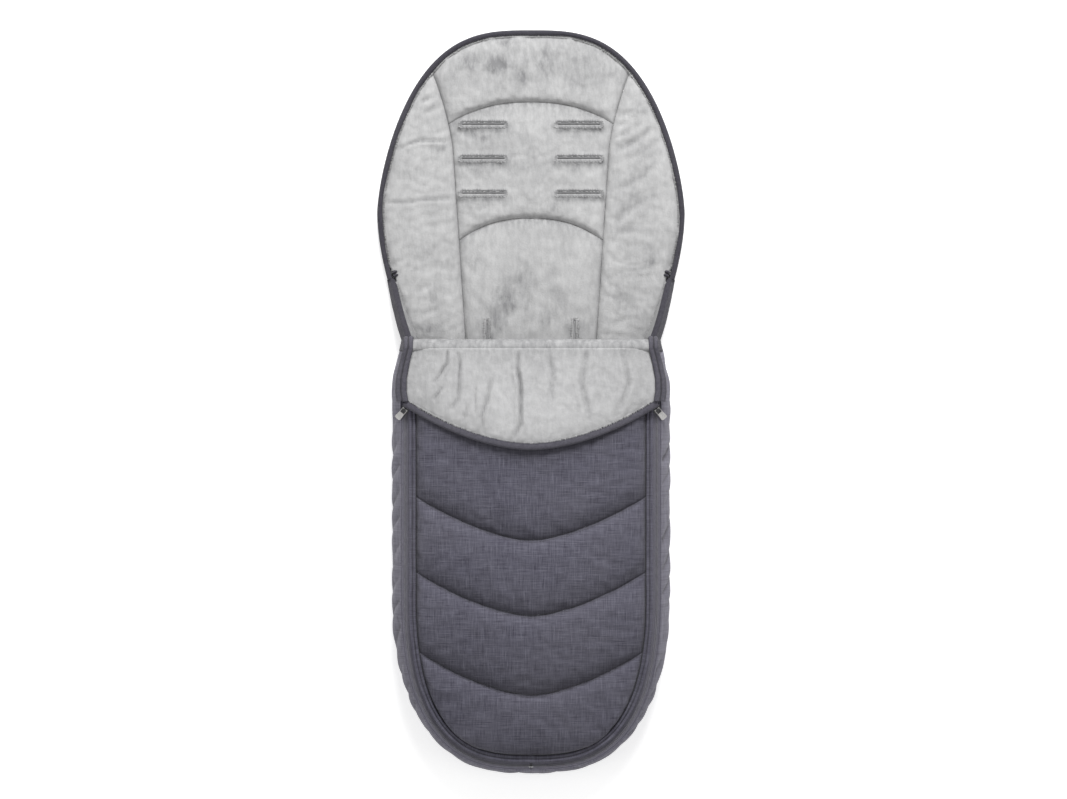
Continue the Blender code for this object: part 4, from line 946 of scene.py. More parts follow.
def liner_pad(name, plan, seed, outer):
    """One plush pad of the liner, blown up between its seams and pulled down round its slots."""
    rows, columns = plan.shape[:2]
    across, along = np.meshgrid(even(columns - 1), even(rows - 1))
    left, right, top_gap, low_gap = edge_distances(plan)
    under_seam = top_gap.copy() if outer == "none" else np.ones_like(top_gap)
    reach_top = 0.015 if outer == "none" else 0.0085
    if outer == "edge":
        bound = ease((plan[..., 1] - TAPE_END_Y) / 0.025)
        right = np.maximum(right - 0.0062 * bound, 0) + 0.006 * (1 - bound)
    if outer == "top":
        top_gap = np.maximum(top_gap - 0.0062, 0)
    sides = round_over(left, 0.0065) * round_over(right, 0.0065)
    full = np.maximum(sides * round_over(top_gap, reach_top) * round_over(low_gap, 0.0038), pillow(across, along))
    near_slot = slot_distance(plan)
    dip = np.exp(-(np.maximum(near_slot, 0) / 0.013) ** 2)
    full = full * (1 - 0.12 * dip)
    meet = np.exp(-(np.maximum(near_slot, 0) / 0.0045) ** 2)
    height = mix(LINER_LOW + LINER_EDGE + LINER_CROWN * full, 0.0173, meet)
    top = np.concatenate([plan, height[..., None]], axis=-1)
    held = rim_mask(top) | (near_slot < 0.0022)
    top = settle(top, held, pressure=1.6, spare=0.010, cap=0.0024, hold=0.20)
    free = full * (near_slot > 0.003)
    top[..., 2] += 0.0010 * smooth_noise(top, 0.050, seed) * free + 0.0005 * smooth_noise(top, 0.016, seed + 7) * free
    # Painted shade: each crease is darkened in step with its depth.
    folded = np.zeros_like(full)
    for path, width, depth in PAD_CREASES[name]:
        dent = 0.85 * crease(top, path, width, depth) * np.minimum(full, 1)
        top[..., 2] += dent
        folded += np.clip(-dent / 0.005, 0, 1)
    low = np.concatenate([plan, np.full((rows, columns, 1), LINER_LOW)], axis=-1)
    pad = mesh_from_grids(name + "_plush", [top, low], LINER_PLUSH)
    # Painted shade: darker just below the cross seams and along the long seams, in a soft shadow below each slot, in
    # listed spots and toward the head edge.
    seam_shade = 0.55 * np.exp(-under_seam / 0.010) + 0.25 * np.exp(-np.minimum(left, right) / 0.003)
    below_slot = slot_distance(top[..., :2] + np.array([0, 0.0045]))
    slot_shade = 0.62 * np.exp(-np.maximum(below_slot, 0) / 0.0050) * (0.8 + 0.4 * smooth_noise(top, 0.012, 17))
    head_shade = 0.20 * ease((top[..., 1] - 0.405) / 0.04) * (outer == "top")
    brush(pad, np.maximum.reduce([seam_shade, slot_shade, brushed_and_shaded(top), folded]) + head_shade)
    cut_slots(pad)
    return dress(pad, "back", name, fill=0.75)


def cut_slots(piece):
    """Take the faces over each slot's opening out of a piece."""
    shape = bmesh.new()
    shape.from_mesh(piece.data)
    middles = np.array([face.calc_center_median() for face in shape.faces])
    upright = np.array([abs(face.normal.z) > 0.2 for face in shape.faces])
    inside = (slot_distance(middles) < -0.0010) & upright
    shape.faces.ensure_lookup_table()
    bmesh.ops.delete(shape, geom=[shape.faces[int(i)] for i in np.flatnonzero(inside)], context="FACES")
    shape.to_mesh(piece.data)
    shape.free()


def chest_seam(share):
    """The upper cross seam."""
    return CHEST_SEAM_Y - 0.030 * np.abs(share) ** 2.4


def seat_seam(share):
    """The lower cross seam."""
    return SEAT_SEAM_Y - 0.030 * np.abs(share) ** 2.4


HEAD_HALF_SEAM, FOOT_HALF_SEAM = float(seam_half(JOIN_Y)), float(seam_half(FOOT_Y))
head_end = float(edge_y(LAYER_EDGE, HEAD_HALF_SEAM, True))
foot_end = float(edge_y(LAYER_EDGE, FOOT_HALF_SEAM, False))
liner_plans = {
    "liner_head_panel": centre_plan(lambda s: edge_y(LAYER_EDGE, s * HEAD_HALF_SEAM, True), chest_seam,
                                    min(head_end, JOIN_Y), float(chest_seam(1)) + CLEAR, (38, 84)),
    "liner_chest_panel": centre_plan(chest_seam, seat_seam, float(chest_seam(1)),
                                     float(seat_seam(1)) + CLEAR, (60, 84)),
    "liner_seat_panel": centre_plan(seat_seam, lambda s: edge_y(LAYER_EDGE, s * FOOT_HALF_SEAM, False),
                                    float(seat_seam(1)), foot_end, (120, 44)),
    "liner_side_left": side_plan(-1, (310, 32)),
    "liner_side_right": side_plan(1, (310, 32)),
}
for number, (name, plan) in enumerate(liner_plans.items()):
    liner_pad(name, plan, number + 1, "top" if "head" in name else "edge" if "side" in name else "none")
print("liner pads:", len(liner_plans))


# %% Back cloth and filling
def flat_layer(name, curve, low, high, finish, node):
    """A flat layer of the back with the slots cut through it."""
    rows = []
    for share in np.linspace(0.002, 1, 150):
        point = walk(curve, [share])[0][0]
        rows.append(point)
    rows = np.array(rows)
    across = np.linspace(-1, 1, 61)
    plan = np.stack([rows[:, :1] * across, np.repeat(rows[:, 1:], 61, axis=1)], axis=-1)
    top = np.concatenate([plan, np.full((*plan.shape[:2], 1), high)], axis=-1)
    bottom = np.concatenate([plan, np.full((*plan.shape[:2], 1), low)], axis=-1)
    layer = mesh_from_grids(name, [top, bottom], finish)
    cut_slots(layer)
    return dress(layer, "back", node, fill=0.2)


flat_layer("back_cloth", offset(BACK_EDGE, np.full(len(BACK_EDGE), HEAD_INSET)), 0.0, SHELL, MELANGE, "back_shell")
flat_layer("back_filling", LAYER_EDGE, SHELL + CLEAR, SHELL + CLEAR + 0.006, FLEECE, "back_wadding")
print("back layers done")

# %% [markdown]
# ## Bound edges
# A bound edge is a strip of tape folded over the raw edge of every layer and stitched through.
# Here a strip's cross section is carried along a curve, so its ribs run the way the tape was
# laid. The same step makes the slot rims, the band round the apron and the hem.


# %% Sweep helper
def sweep(name, places, outs, sections, finish, loop_section=False, loop_path=False):
    """Carry a cross section along a path: sections are (station, point, [out, up]) in metres."""
    stations, count = sections.shape[:2]
    points = np.empty((stations, count, 3))
    points[..., :2] = places[:, None, :2] + outs[:, None, :] * sections[..., :1]
    points[..., 2] = places[:, None, 2] + sections[..., 1]
    run = run_of(places[:, :2])
    girth = run_of(sections[0])
    cloth = np.stack([np.repeat(run[:, None], count, 1), np.repeat(girth[None], stations, 0)], axis=-1)
    if loop_path:
        points = np.concatenate([points, points[:1]])
        cloth = np.concatenate([cloth, cloth[:1] + [[run[-1] + 0.002, 0]]])
    grids = [points]
    return mesh_from_grids(name, grids, finish, cloth=cloth, around=loop_section)


def both_sides(curve, shares, through_head):
    """Stations of a half curve and its mirror, from the left end to the right end."""
    points, outs = walk(curve, shares)
    mirrored, mirrored_outs = points * [-1, 1], outs * [-1, 1]
    if through_head:
        return (np.concatenate([mirrored[::-1], points[1:]]), np.concatenate([mirrored_outs[::-1], outs[1:]]))
    return (np.concatenate([mirrored, points[::-1][1:]]), np.concatenate([mirrored_outs, outs[::-1][1:]]))


def with_height(places, heights):
    """Plan places lifted to heights."""
    return np.concatenate([places, np.reshape(heights, (-1, 1)) * np.ones((len(places), 1))], axis=1)


# %% Head binding
def head_binding():
    """Tape folded round the edge of the head, wider in some places than in others."""
    end = share_at_y(BACK_EDGE, TAPE_END_Y - 0.0006)
    places, outs = both_sides(BACK_EDGE, np.linspace(0, end, STATIONS), True)
    outs[STATIONS - 1] = (0, 1)
    wobble = smooth_noise(places, 0.045, 3)
    ripple = smooth_noise(places, 0.012, 4)
    turn = np.linspace(-0.5 * math.pi, 1.5 * math.pi, 25)[:-1]
    sections = np.empty((len(places), 24, 2))
    width = 0.0077 + 0.0014 * wobble
    sections[..., 0] = 0.0004 - width[:, None] / 2 * (1 - squared_off(np.cos(turn), 0.7))
    rise = squared_off(np.sin(turn), 0.8)
    sections[..., 1] = 0.0077 + 0.0075 * rise + (0.0005 * ripple)[:, None] * (rise > 0)
    piece = sweep("head_binding", with_height(places, 0.0), outs, sections, HEAD_TAPE, loop_section=True)
    stitches("head_stitches", [with_height(places - 0.0064 * outs, 0.0141)], "back", THREAD)
    fringe("head_fringe", with_height(places - 0.0096 * outs, 0.0128), with_height(outs, 0.0), "back", LINER_PLUSH,
           length=0.0028, pitch=0.0016)
    return dress(piece, "back", "back_binding")


head_binding()


# %% Slot rims
def slot_rim(name, centre, along_x):
    """A stitched rim that lines a slot and rolls over onto the plush."""
    reach, half = (SLOT_SIZE[0] - SLOT_SIZE[1]) / 2, SLOT_SIZE[1] / 2 - CLEAR
    turn = full_turn(72)
    outs = np.stack([np.cos(turn), np.sin(turn)], axis=-1)
    straight = np.linspace(-reach, reach, 20)
    upper = np.stack([straight[::-1], np.full(20, half)], -1)
    lower = np.stack([straight, np.full(20, -half)], -1)
    quarter = outs[(np.cos(turn) > 1e-6)]
    order = np.argsort(np.arctan2(quarter[:, 1], quarter[:, 0]))
    right = quarter[order]
    left = -right
    ring = np.concatenate([lower, [reach, 0] + right * half, upper, [-reach, 0] + left * half])
    normals = np.concatenate([np.tile([0, -1], (20, 1)), right, np.tile([0, 1], (20, 1)), left])
    if not along_x:
        ring, normals = ring[:, ::-1] * [-1, 1], normals[:, ::-1] * [-1, 1]
    ring = ring + centre
    section = np.array([(-0.0010, 0.0003), (-0.0012, 0.0120), (-0.0034, 0.0140), (-0.0035, 0.0160), (-0.0026, 0.0170),
                        (-0.0015, 0.0168), (-0.0007, 0.0171), (0.0001, 0.0178), (0.0010, 0.0175), (0.0022, 0.0160),
                        (0.0020, 0.0140), (0.0002, 0.0135), (0.0, 0.0003)])
    wave = 0.0004 * smooth_noise(ring, 0.009, 9)
    sections = np.repeat(section[None], len(ring), 0)
    sections[:, 3:11, 1] += wave[:, None]
    sections[:, 2:5, 0] += 0.6 * wave[:, None]
    rim = sweep(name + "_rim", with_height(ring, 0.0), normals, sections, LINER_PLUSH,
                loop_section=True, loop_path=True)
    rim.data.materials.append(RIM_TAPE)
    for polygon in rim.data.polygons:
        polygon.material_index = int(polygon.center[2] < 0.0150)
    facing = normals[:, 1:] if along_x else -normals[:, :1]
    upper = np.concatenate([facing, facing[:1]]) * 0.5 + 0.5
    shaded = np.array([1, 1, 1, 1, 1, 1, 1, 0.8, 0.35, 0.2, 0.3, 0.6, 0.8])
    lit = np.array([1, 1, 1, 0.8, 0.30, 0.3, 0.95, 0.5, 0.25, 0.2, 0.3, 0.6, 0.8])
    if not along_x:
        shaded = lit = np.array([1, 1, 1, 1, 0.95, 0.5, 0.25, 0.15, 0.1, 0.1, 0.2, 0.6, 0.8])
    brush(rim, mix(lit, shaded, upper))
    fringe(name + "_fringe", with_height(ring + normals * 0.0004, 0.0172), with_height(normals, 0.0), "back",
           LINER_PLUSH, length=0.0028, pitch=0.0011, nap_and_shade=0.12 + (0.48 * upper[:-1, 0] ** 2 if along_x else 0))
    sewn = with_height(ring + normals * 0.0003, 0.0178)
    rows = [sewn[:20], sewn[20 + len(right):40 + len(right)]]
    stitches(name + "_stitches", rows, "back", PALE_THREAD, radius=0.00026)
    return dress(rim, "back", name)


for name, centre, along_x in slots():
    slot_rim(name, centre, along_x)
for side, word in SIDES:
    low_share, high_share = share_at_y(LAYER_EDGE, FOLD_Y - 0.004), share_at_y(LAYER_EDGE, TAPE_END_Y - 0.003)
    places, outs = walk(LAYER_EDGE, np.linspace(low_share, high_share, 60))
    places, outs = places * [side, 1], outs * [side, 1]
    fringe("waist_fringe_" + word, with_height(places - 0.0008 * outs, 0.0150), with_height(outs, 0.0), "back",
           LINER_PLUSH, length=0.0050, pitch=0.0006, seed=71, nap_and_shade=0.1)
print("binding and", len(slots()), "slot rims")

# %% [markdown]
# ## The bag's wall
# The wall that stands round the lower half is a long strip of cloth, sewn to the back below and
# to the zip tape above. The zip is shorter than the cloth it is sewn to, so the cloth gathers
# in slanting puckers about every 35 mm. A plush lining stands inside it.


# %% Wall and its lining
def wall_shape(low, top_up, gap, count):
    """Stations, outward normals and rows of (out, up) for a wall that follows the zip line."""
    places, outs = both_sides(ZIP_LINE, np.linspace(0, 1, STATIONS), False)
    outs[STATIONS - 1] = (0, -1)
    y = places[:, 1]
    height = zip_height(y) + 0.0006
    full = mix(0.009, 0.006, ease((TAPER_Y - y) / FOOT_DEPTH))
    bulge = full * np.minimum((height - low) / (FOOT_HEIGHT - low), 1)
    up = even(count)
    level = mix(low, (zip_height(y) + top_up)[:, None], up)
    rise = (level - low) / (height - low)[:, None]
    straight = mix(zip_lean(y)[:, None], 0.0067, rise)
    out = straight + bulge[:, None] * np.sin(math.pi * rise) - gap
    return places, outs, out, level, rise


def bag_wall():
    """The outer cloth, gathered along the zip."""
    places, outs, out, level, rise = wall_shape(SHELL + CLEAR, 0.0006, 0, 22)
    run = run_of(places)[:, None]
    wobble = smooth_noise(with_height(places, 0.0), 0.09, 6)[:, None]
    phase = (run + 0.050 * rise + 0.030 * wobble) / 0.0345
    strength = smooth_noise(with_height(places, 0.0), 0.05, 16)[:, None]
    strong = np.clip(0.60 + 1.1 * strength, 0.2, 1)
    gather = 1 - strong * (1 - np.abs(np.sin(math.pi * phase)) ** 0.6)
    lower = np.clip((rise - 0.15) / 0.4, 0, 1) * np.clip((1.0 - rise) / 0.05, 0, 1)
    wall_high = np.clip((level[:, -1:] - 0.03) / 0.03, 0, 1)
    slack = smooth_noise(np.stack([run * np.ones_like(level), level, level * 0], -1), 0.028, 8)
    out = out + (0.9 * gather - 3.6 * (1 - gather)) * 0.001 * lower * wall_high
    out = out + 0.0014 * slack * np.sin(math.pi * np.clip(rise, 0, 1))
    skin = np.stack([out, level], axis=-1)
    top = zip_height(places[:, 1])
    lip = [np.stack([0 * top + reach, top + up], axis=-1)[:, None]
           for reach, up in ((0.0064, 0.0013), (0.0058, 0.0017), (0.0051, 0.0016), (0.0047, 0.0010), (0.0048, 0.0005))]
    inner = skin[:, ::-1] - np.array([0.0012, 0])
    sections = np.concatenate([skin, *lip, inner[:, 1:]], axis=1)
    wall = sweep("bag_wall", with_height(places, 0.0), outs, sections, WALL_MELANGE, loop_section=True)
    # Painted shade: the cloth is darkened in the hollows of the puckers.
    pucker_shade = np.zeros(sections.shape[:2])
    pucker_shade[:, :skin.shape[1]] = 0.85 * np.clip(1.15 - 1.6 * gather, 0, 1) * lower * wall_high
    brush(wall, pucker_shade)
    return dress(wall, "back", "gusset_shell", fill=0.35)


def wall_facing(side, word):
    """Dark tape folded over the low end of the wall, from the binding down to the fold."""
    places, outs, out, level, _ = wall_shape(SHELL + CLEAR, 0.0006, 0, 10)
    upper = np.flatnonzero((places[:, 1] > FOLD_Y - 0.006) & (places[:, 0] * side > 0))
    upper = upper[np.argsort(-places[upper, 1])]
    places, outs, out, level = places[upper], outs[upper], out[upper], level[upper]
    swell = 0.0008 + 0.0003 * smooth_noise(with_height(places, 0.0), 0.010, 15)[:, None]
    outer = np.stack([out + swell, level], axis=-1)
    top = zip_height(places[:, 1])
    turned_in = ((0.0068, 0.0022), (0.0050, 0.0032), (0.0028, 0.0031), (0.0006, 0.0022), (-0.0008, 0.0004),
                 (-0.0006, -0.0010), (0.0004, 0.0010), (0.0026, 0.0019), (0.0050, 0.0019), (0.0062, 0.0012))
    over = [np.stack([0 * top + reach, top + up], axis=-1)[:, None] for reach, up in turned_in]
    inner = np.stack([out + 0.0001, level], axis=-1)[:, ::-1]
    sections = np.concatenate([outer, *over, inner], axis=1)
    facing = sweep("wall_facing_" + word, with_height(places, 0.0), outs, sections, HEAD_TAPE, loop_section=True)
    return dress(facing, "back")


def wall_lining():
    """The plush inside the wall."""
    places, outs, out, level, rise = wall_shape(SHELL + CLEAR, -0.0031, 0.0024, 12)
    thick = mix(0.0075, 0.0030, even(12))
    behind = np.minimum(0.0037 * np.sin(math.pi * np.clip(rise, 0, 1)) ** 0.5, thick - 0.0008)
    outer = np.stack([out - behind, level], axis=-1)
    wave = smooth_noise(np.stack([run_of(places)[:, None] * np.ones_like(level), level, level * 0], -1), 0.02, 12)
    full = np.minimum(out - thick, mix((zip_lean(places[:, 1]) - 0.0108)[:, None], 0.0010, rise ** 2.6))
    inner = np.stack([full - 0.0006 * (wave + 1) * np.sin(math.pi * np.clip(rise, 0, 1)), level], axis=-1)
    sections = np.concatenate([outer, inner[:, ::-1]], axis=1)
    lining = sweep("wall_plush", with_height(places, 0.0), outs, sections, LINER_PLUSH, loop_section=True)
    # Painted shade: the lining is darkened all along, most toward the waist, with a faint wave.
    waist = ease((places[:, 1] - 0.050) / 0.030)[:, None]
    brush(lining, mix(0.25, 0.85, waist) + 0.10 * np.concatenate([wave, wave[:, ::-1]], axis=1))
    return dress(lining, "back", "gusset_lining", fill=0.6)


bag_wall()
wall_lining()
for side, word in SIDES:
    wall_facing(side, word)
print("bag wall and lining")

# %% [markdown]
# ## The quilted apron
# The apron has four pads, parted by three seams that rise toward the sides. It is puffed most
# between the seams. Its plush underside and its filling are separate layers, and a smooth band
# with a stitched groove runs round it over the zip tape.


# %% Apron shapes
def quilt_arc(number, share):
    """A quilt seam, which rises toward its ends."""
    return mix(FOLD_Y, FOOT_Y, QUILT_SHARES[number]) + QUILT_RISE * np.abs(share) ** 1.6


def hem_y(share):
    """The plush edge of the folded flap."""
    return FOLD_Y - mix(FLAP_LENGTH, FLAP_SIDE_LENGTH, np.abs(share) ** 1.8)


def apron_low(x, y):
    """Underside of the apron at a point in plan."""
    start = FOLD_Y - APRON_THICKNESS
    half = np.maximum(x_at_y(QUILT_LINE, np.maximum(y, FOOT_Y + PANEL_INSET)), CLEAR)
    side = np.minimum(np.abs(x) / half, 1)
    rise = 0.019 * ease((start - y) / 0.130)
    crown = mix(rise, 0.005, ease((TAPER_Y - y) / FOOT_DEPTH)) * (1 - side ** 2)
    return np.where(y > start, SIDE_HEIGHT - APRON_DROP, zip_height(np.minimum(y, DROP_Y)) - APRON_DROP + crown)


def panel_thickness(number, along, side):
    """Height of a pad's top over the apron's underside."""
    along = mix(0.095, 1, along) if number == 0 else along
    puff = (1 - np.abs(2 * along - 1) ** 2.2) * (1 - side ** 6)
    if number == 0:
        puff = np.maximum(puff, (APRON_THICKNESS - PANEL_BASE) * (1 - ease(along)) / 0.009)
    return PANEL_BASE + 0.009 * puff


FOOT_CORNER = walk(QUILT_LINE, [0.900])[0][0]


def apron_plan(number, rows, columns):
    """A grid in plan of one pad."""
    along = even(rows)[:, None]
    share = np.linspace(-1, 1, columns + 1)[None]
    bend = quilt_arc(0, share) - quilt_arc(0, 1)
    if number == 0:
        end_y, bend = mix(FOLD_Y - CLEAR, quilt_arc(0, 1), along), along * bend
    elif number < 3:
        end_y, bend = mix(quilt_arc(number - 1, 1), quilt_arc(number, 1), along), bend + 0 * along
    else:
        end_y = mix(quilt_arc(2, 1), FOOT_CORNER[1], along)
        foot = edge_y(QUILT_LINE, np.abs(share) * FOOT_CORNER[0], False) - FOOT_CORNER[1]
        bend = mix(bend, foot, along)
    return np.stack([share * x_at_y(QUILT_LINE, end_y), end_y + bend], axis=-1)


def quilt_pad(number, rows):
    """One quilted pad: its cover settled between its seams."""
    columns = 72
    plan = apron_plan(number, rows, columns)
    along = even(rows)[:, None]
    side = np.abs(np.linspace(-1, 1, columns + 1))[None]
    under = apron_low(plan[..., 0], plan[..., 1])
    left, right, top_gap, low_gap = edge_distances(plan)
    end_gap = np.minimum(top_gap, low_gap)
    if number == 0:
        top_gap = np.full_like(top_gap, 0.05)
    soft = round_over(np.minimum(left, right), 0.007) * round_over(top_gap, 0.009) * round_over(low_gap, 0.016)
    thick = np.maximum(panel_thickness(number, along, side), PANEL_BASE + 0.0118 * soft)
    if number == 0:
        roll = np.maximum(plan[..., 1] - FOLD_Y + ROLL_RADIUS, 0)
        thick = thick - 0.006 * ease(roll / ROLL_RADIUS)
    top = np.concatenate([plan, (under + thick)[..., None]], axis=-1)
    covered = 0.35 if number == 0 else 1.0
    top = settle(top, rim_mask(top), pressure=2.2 * covered, spare=0.014, cap=0.0030, hold=0.18, bending=0.6)
    if number:
        groove = np.exp(-((end_gap - 0.0026) / 0.0009) ** 2) * (along < 0.5)
        top[..., 2] -= 0.0007 * groove
    top[..., 2] += 0.0006 * smooth_noise(top, 0.030, 20 + number) * soft
    low = np.concatenate([plan, (under + 0.0066)[..., None]], axis=-1)
    pad = mesh_from_grids(f"quilt_pad_{number + 1}", [top, low], MELANGE)
    # Painted shade: darker above each pad's lower seam, along its sides and in a thin line just below its upper seam;
    # on the first pad also a painted shadow below the flap's hem, which stays when the flap is opened.
    ragged = 1 + 0.25 * smooth_noise(top, 0.02, 60 + number)
    quilt_shade = 0.40 * np.exp(-(low_gap / 0.022) ** 1.4) * ragged + 0.32 * np.exp(-np.minimum(left, right) / 0.0024)
    if number == 0:
        below_hem = hem_y(plan[..., 0] / FLAP_HALF) - 0.0095 - plan[..., 1]
        quilt_shade += 0.55 * np.exp(-(np.maximum(below_hem, 0) / 0.017) ** 1.4)
    brush(pad, quilt_shade + 0.35 * np.exp(-(top_gap / 0.0016) ** 2))
    if number:
        row = [[np.interp(0.0026, top_gap[:, column], top[:, column, axis]) for axis in range(3)]
               for column in range(columns + 1)]
        stitches(f"quilt_stitches_{number}", [np.array(row)], "apron", THREAD)
    return dress(pad, "apron", f"apron_panel_{number + 1}", fill=0.7)


for number, rows in enumerate((54, 24, 25, 26)):
    quilt_pad(number, rows)


def apron_layer(name, node, low, high, finish):
    """A smooth layer under the pads."""
    plans = [apron_plan(number, rows, 40) for number, rows in enumerate((26, 10, 10, 12))]
    plan = np.concatenate([plans[0]] + [grid[1:] for grid in plans[1:]])
    under = apron_low(plan[..., 0], plan[..., 1])
    grids = [np.concatenate([plan, (under + level)[..., None]], axis=-1) for level in (high, low)]
    return dress(mesh_from_grids(name, grids, finish), "apron", node, fill=0.5)


apron_layer("apron_plush", "apron_lining", 0.0, 0.0030, LINER_PLUSH)
apron_layer("apron_filling", "apron_wadding", 0.0033, 0.0063, FLEECE)
print("apron pads and layers")


# %% Apron band, tapes and coils
def line_stations(start_y, end_share, count, curve=ZIP_LINE):
    """Shares of the zip line from a height in plan to near the foot."""
    return np.linspace(share_at_y(curve, start_y), end_share, count)


def apron_band():
    """The smooth double band round the apron."""
    places, outs = both_sides(ZIP_LINE, line_stations(FOLD_Y - APRON_THICKNESS - CLEAR, 1, 300), False)
    outs[299] = (0, -1)
    across = np.linspace(0, 1, 19)
    hump = np.where(across < 0.52, np.sin(math.pi * across / 0.52).clip(0) ** 0.5,
                    np.sin(math.pi * (across - 0.52) / 0.48).clip(0) ** 0.5)
    wobble = 1 + 0.10 * smooth_noise(with_height(places, 0.0), 0.02, 14)
    top_up = 0.0006 + 0.0022 + 0.0030 * hump[None] * wobble[:, None]
    out = -SLIDER_SIDE - 0.0101 * across
    sections = np.stack([np.broadcast_to(out, top_up.shape), top_up], axis=-1)
    under = np.stack([np.broadcast_to(out[::-1], top_up.shape), np.full(top_up.shape, 0.0006)], axis=-1)
    sections = np.concatenate([sections, under], axis=1)
    base = zip_height(places[:, 1])
    band = sweep("edge_band", with_height(places, base), outs, sections, MELANGE, loop_section=True)
    shade = 0.65 * np.exp(-((across - 0.52) / 0.06) ** 2) + 0.35 * ease((across - 0.82) / 0.18)
    brush(band, np.tile(np.concatenate([shade, shade[::-1]]), (len(places), 1)))
    stitches("band_stitches", [with_height(places - (SLIDER_SIDE + 0.0052) * outs, base + 0.0029)], "apron", THREAD)
    return dress(band, "apron", "apron_band", fill=0.4)


apron_band()


def tape(name, node, body, side, shares, section):
    """A zip tape along one side."""
    points, outs = walk(ZIP_LINE, shares)
    points, outs = points * [side, 1], outs * [side, 1]
    places = with_height(points, zip_height(points[:, 1]))
    sections = np.repeat(np.array(section, float)[None], len(points), 0)
    return dress(sweep(name, places, outs, sections, ZIP_TAPE_LIGHTENED, loop_section=True), body, node)


def coil(name, node, body, side, shares, sign):
    """The moulded coil of one tape: a loop every 1.5 mm, laid between those of the other tape."""
    run = run_of(ZIP_LINE)[-1]
    count = int((shares[-1] - shares[0]) * run / 0.0015)
    at = np.linspace(shares[0], shares[-1], count) + (0.00075 / run if sign < 0 else 0)
    points, outs = walk(ZIP_LINE, np.minimum(at, 1))
    points, outs = points * [side, 1], outs * [side, 1]
    alongs = np.stack([-outs[:, 1], outs[:, 0]], axis=-1)
    heights = zip_height(points[:, 1])
    shape = [(0.0000, 0.0), (0.0004, 0.0009), (0.0016, 0.0010), (0.0021, 0.0), (0.0016, -0.0010), (0.0004, -0.0009)]
    rings = np.empty((count, 3, 6, 3))
    for number, (shift, scale) in enumerate(((-0.00055, 0.72), (0.0, 1.0), (0.00055, 0.72))):
        for corner, (out, up) in enumerate(shape):
            reach = 0.0010 + (out - 0.0010) * (0.9 + 0.1 * scale)
            rings[:, number, corner, :2] = points + outs * sign * reach + alongs * shift
            rings[:, number, corner, 2] = heights + up * scale
    return dress(mesh_from_rings(name, rings, COIL_LIGHTENED), body, node)


GUSSET_TAPE = [(0.0018, 0.0004), (0.0030, 0.0006), (0.0052, 0.0004), (0.0053, -0.0012), (0.0052, -0.0026),
               (0.0046, -0.0026), (0.0046, -0.0003), (0.0018, -0.0003)]
APRON_TAPE = [(-0.0018, 0.0004), (-0.0018, -0.0003), (-0.0137, -0.0003), (-0.0137, 0.0003), (-0.0032, 0.0006)]
run_length = run_of(ZIP_LINE)[-1]
foot_stop = 1 - 0.0034 / run_length
for side, word in SIDES:
    tape("wall_tape_" + word, "zip_tape_gusset_" + word, "back", side, np.linspace(0, 0.9995, 200), GUSSET_TAPE)
    apron_start = share_at_y(ZIP_LINE, FOLD_Y - APRON_THICKNESS - CLEAR)
    tape("edge_tape_" + word, "zip_tape_apron_" + word, "apron", side, np.linspace(apron_start, 0.9995, 160),
         APRON_TAPE)
    coil("wall_coil_" + word, "zip_teeth_gusset_" + word, "back", side, (0.0, foot_stop), 1)
    coil("edge_coil_" + word, "zip_teeth_apron_" + word, "apron", side, (apron_start, foot_stop), -1)
print("band, tapes and coils")

# %% [markdown]
# ## The folded flap
# The top of the apron is folded down over itself. What was the lining is now on top, so the
# plush shows, with long soft folds that run from the fold to the hem. A tape of the outer cloth
# binds the free edge, and the two halves of the open zip run down its sides. The rounded fold's
# lower half wears the outer cloth.


# %% Flap shapes
def flap_half(along):
    """Half width of the flap, which flares to the hem."""
    return mix(0.1580, 0.1640, along)


def flap_under(x, y):
    """What the flap lies on."""
    side = np.minimum(np.abs(x) / x_at_y(QUILT_LINE, y), 1)
    along = np.clip((FOLD_Y - y) / (FOLD_Y - quilt_arc(0, side)), 0, 1)
    first = apron_low(x, y) + panel_thickness(0, along, side)
    return np.maximum(first, FOLD_Z - CLEAR) + 0.0010


def flap_plan(rows, columns, half=flap_half):
    """A grid in plan from the fold to the plush edge."""
    along = even(rows)[:, None]
    share = np.linspace(-1, 1, columns + 1)[None]
    return np.stack([share * half(along), mix(FOLD_Y - CLEAR, hem_y(share), along)], axis=-1)


def plush_half(along):
    """Half width of the flap's plush face, which swells past the layers below it."""
    return np.interp(along, (0, 0.3, 0.6, 0.85, 1.0), (0.1560, 0.1612, 0.1645, 0.1648, 0.1640))


FLAP_FOLDS = [
    (from_pixels((450, 351), (449, 365), (442, 377), (437, 384)), 0.0032, 0.0028),
    (from_pixels((445, 387), (441, 394), (437, 400)), 0.0030, 0.0022),
    (from_pixels((460, 353), (462, 367), (460, 400), (454, 410)), 0.0036, 0.0030),
    (from_pixels((492, 380), (488, 402), (484, 416), (484, 431)), 0.0036, 0.0026),
    (from_pixels((470, 403), (465, 422)), 0.0030, 0.0020),
    (from_pixels((477, 385), (477, 415)), 0.0030, 0.0018),
    (from_pixels((520, 352), (518, 370), (521, 387), (521, 414), (521, 424), (515, 438)), 0.0042, 0.0040),
    (from_pixels((421, 353), (418, 364)), 0.0030, 0.0010),
    (from_pixels((548, 352), (552, 380), (549, 410)), 0.0060, 0.0018),
    (from_pixels((585, 352), (580, 385), (588, 420)), 0.0060, 0.0020),
    (from_pixels((620, 355), (626, 385), (618, 410)), 0.0055, 0.0018),
]


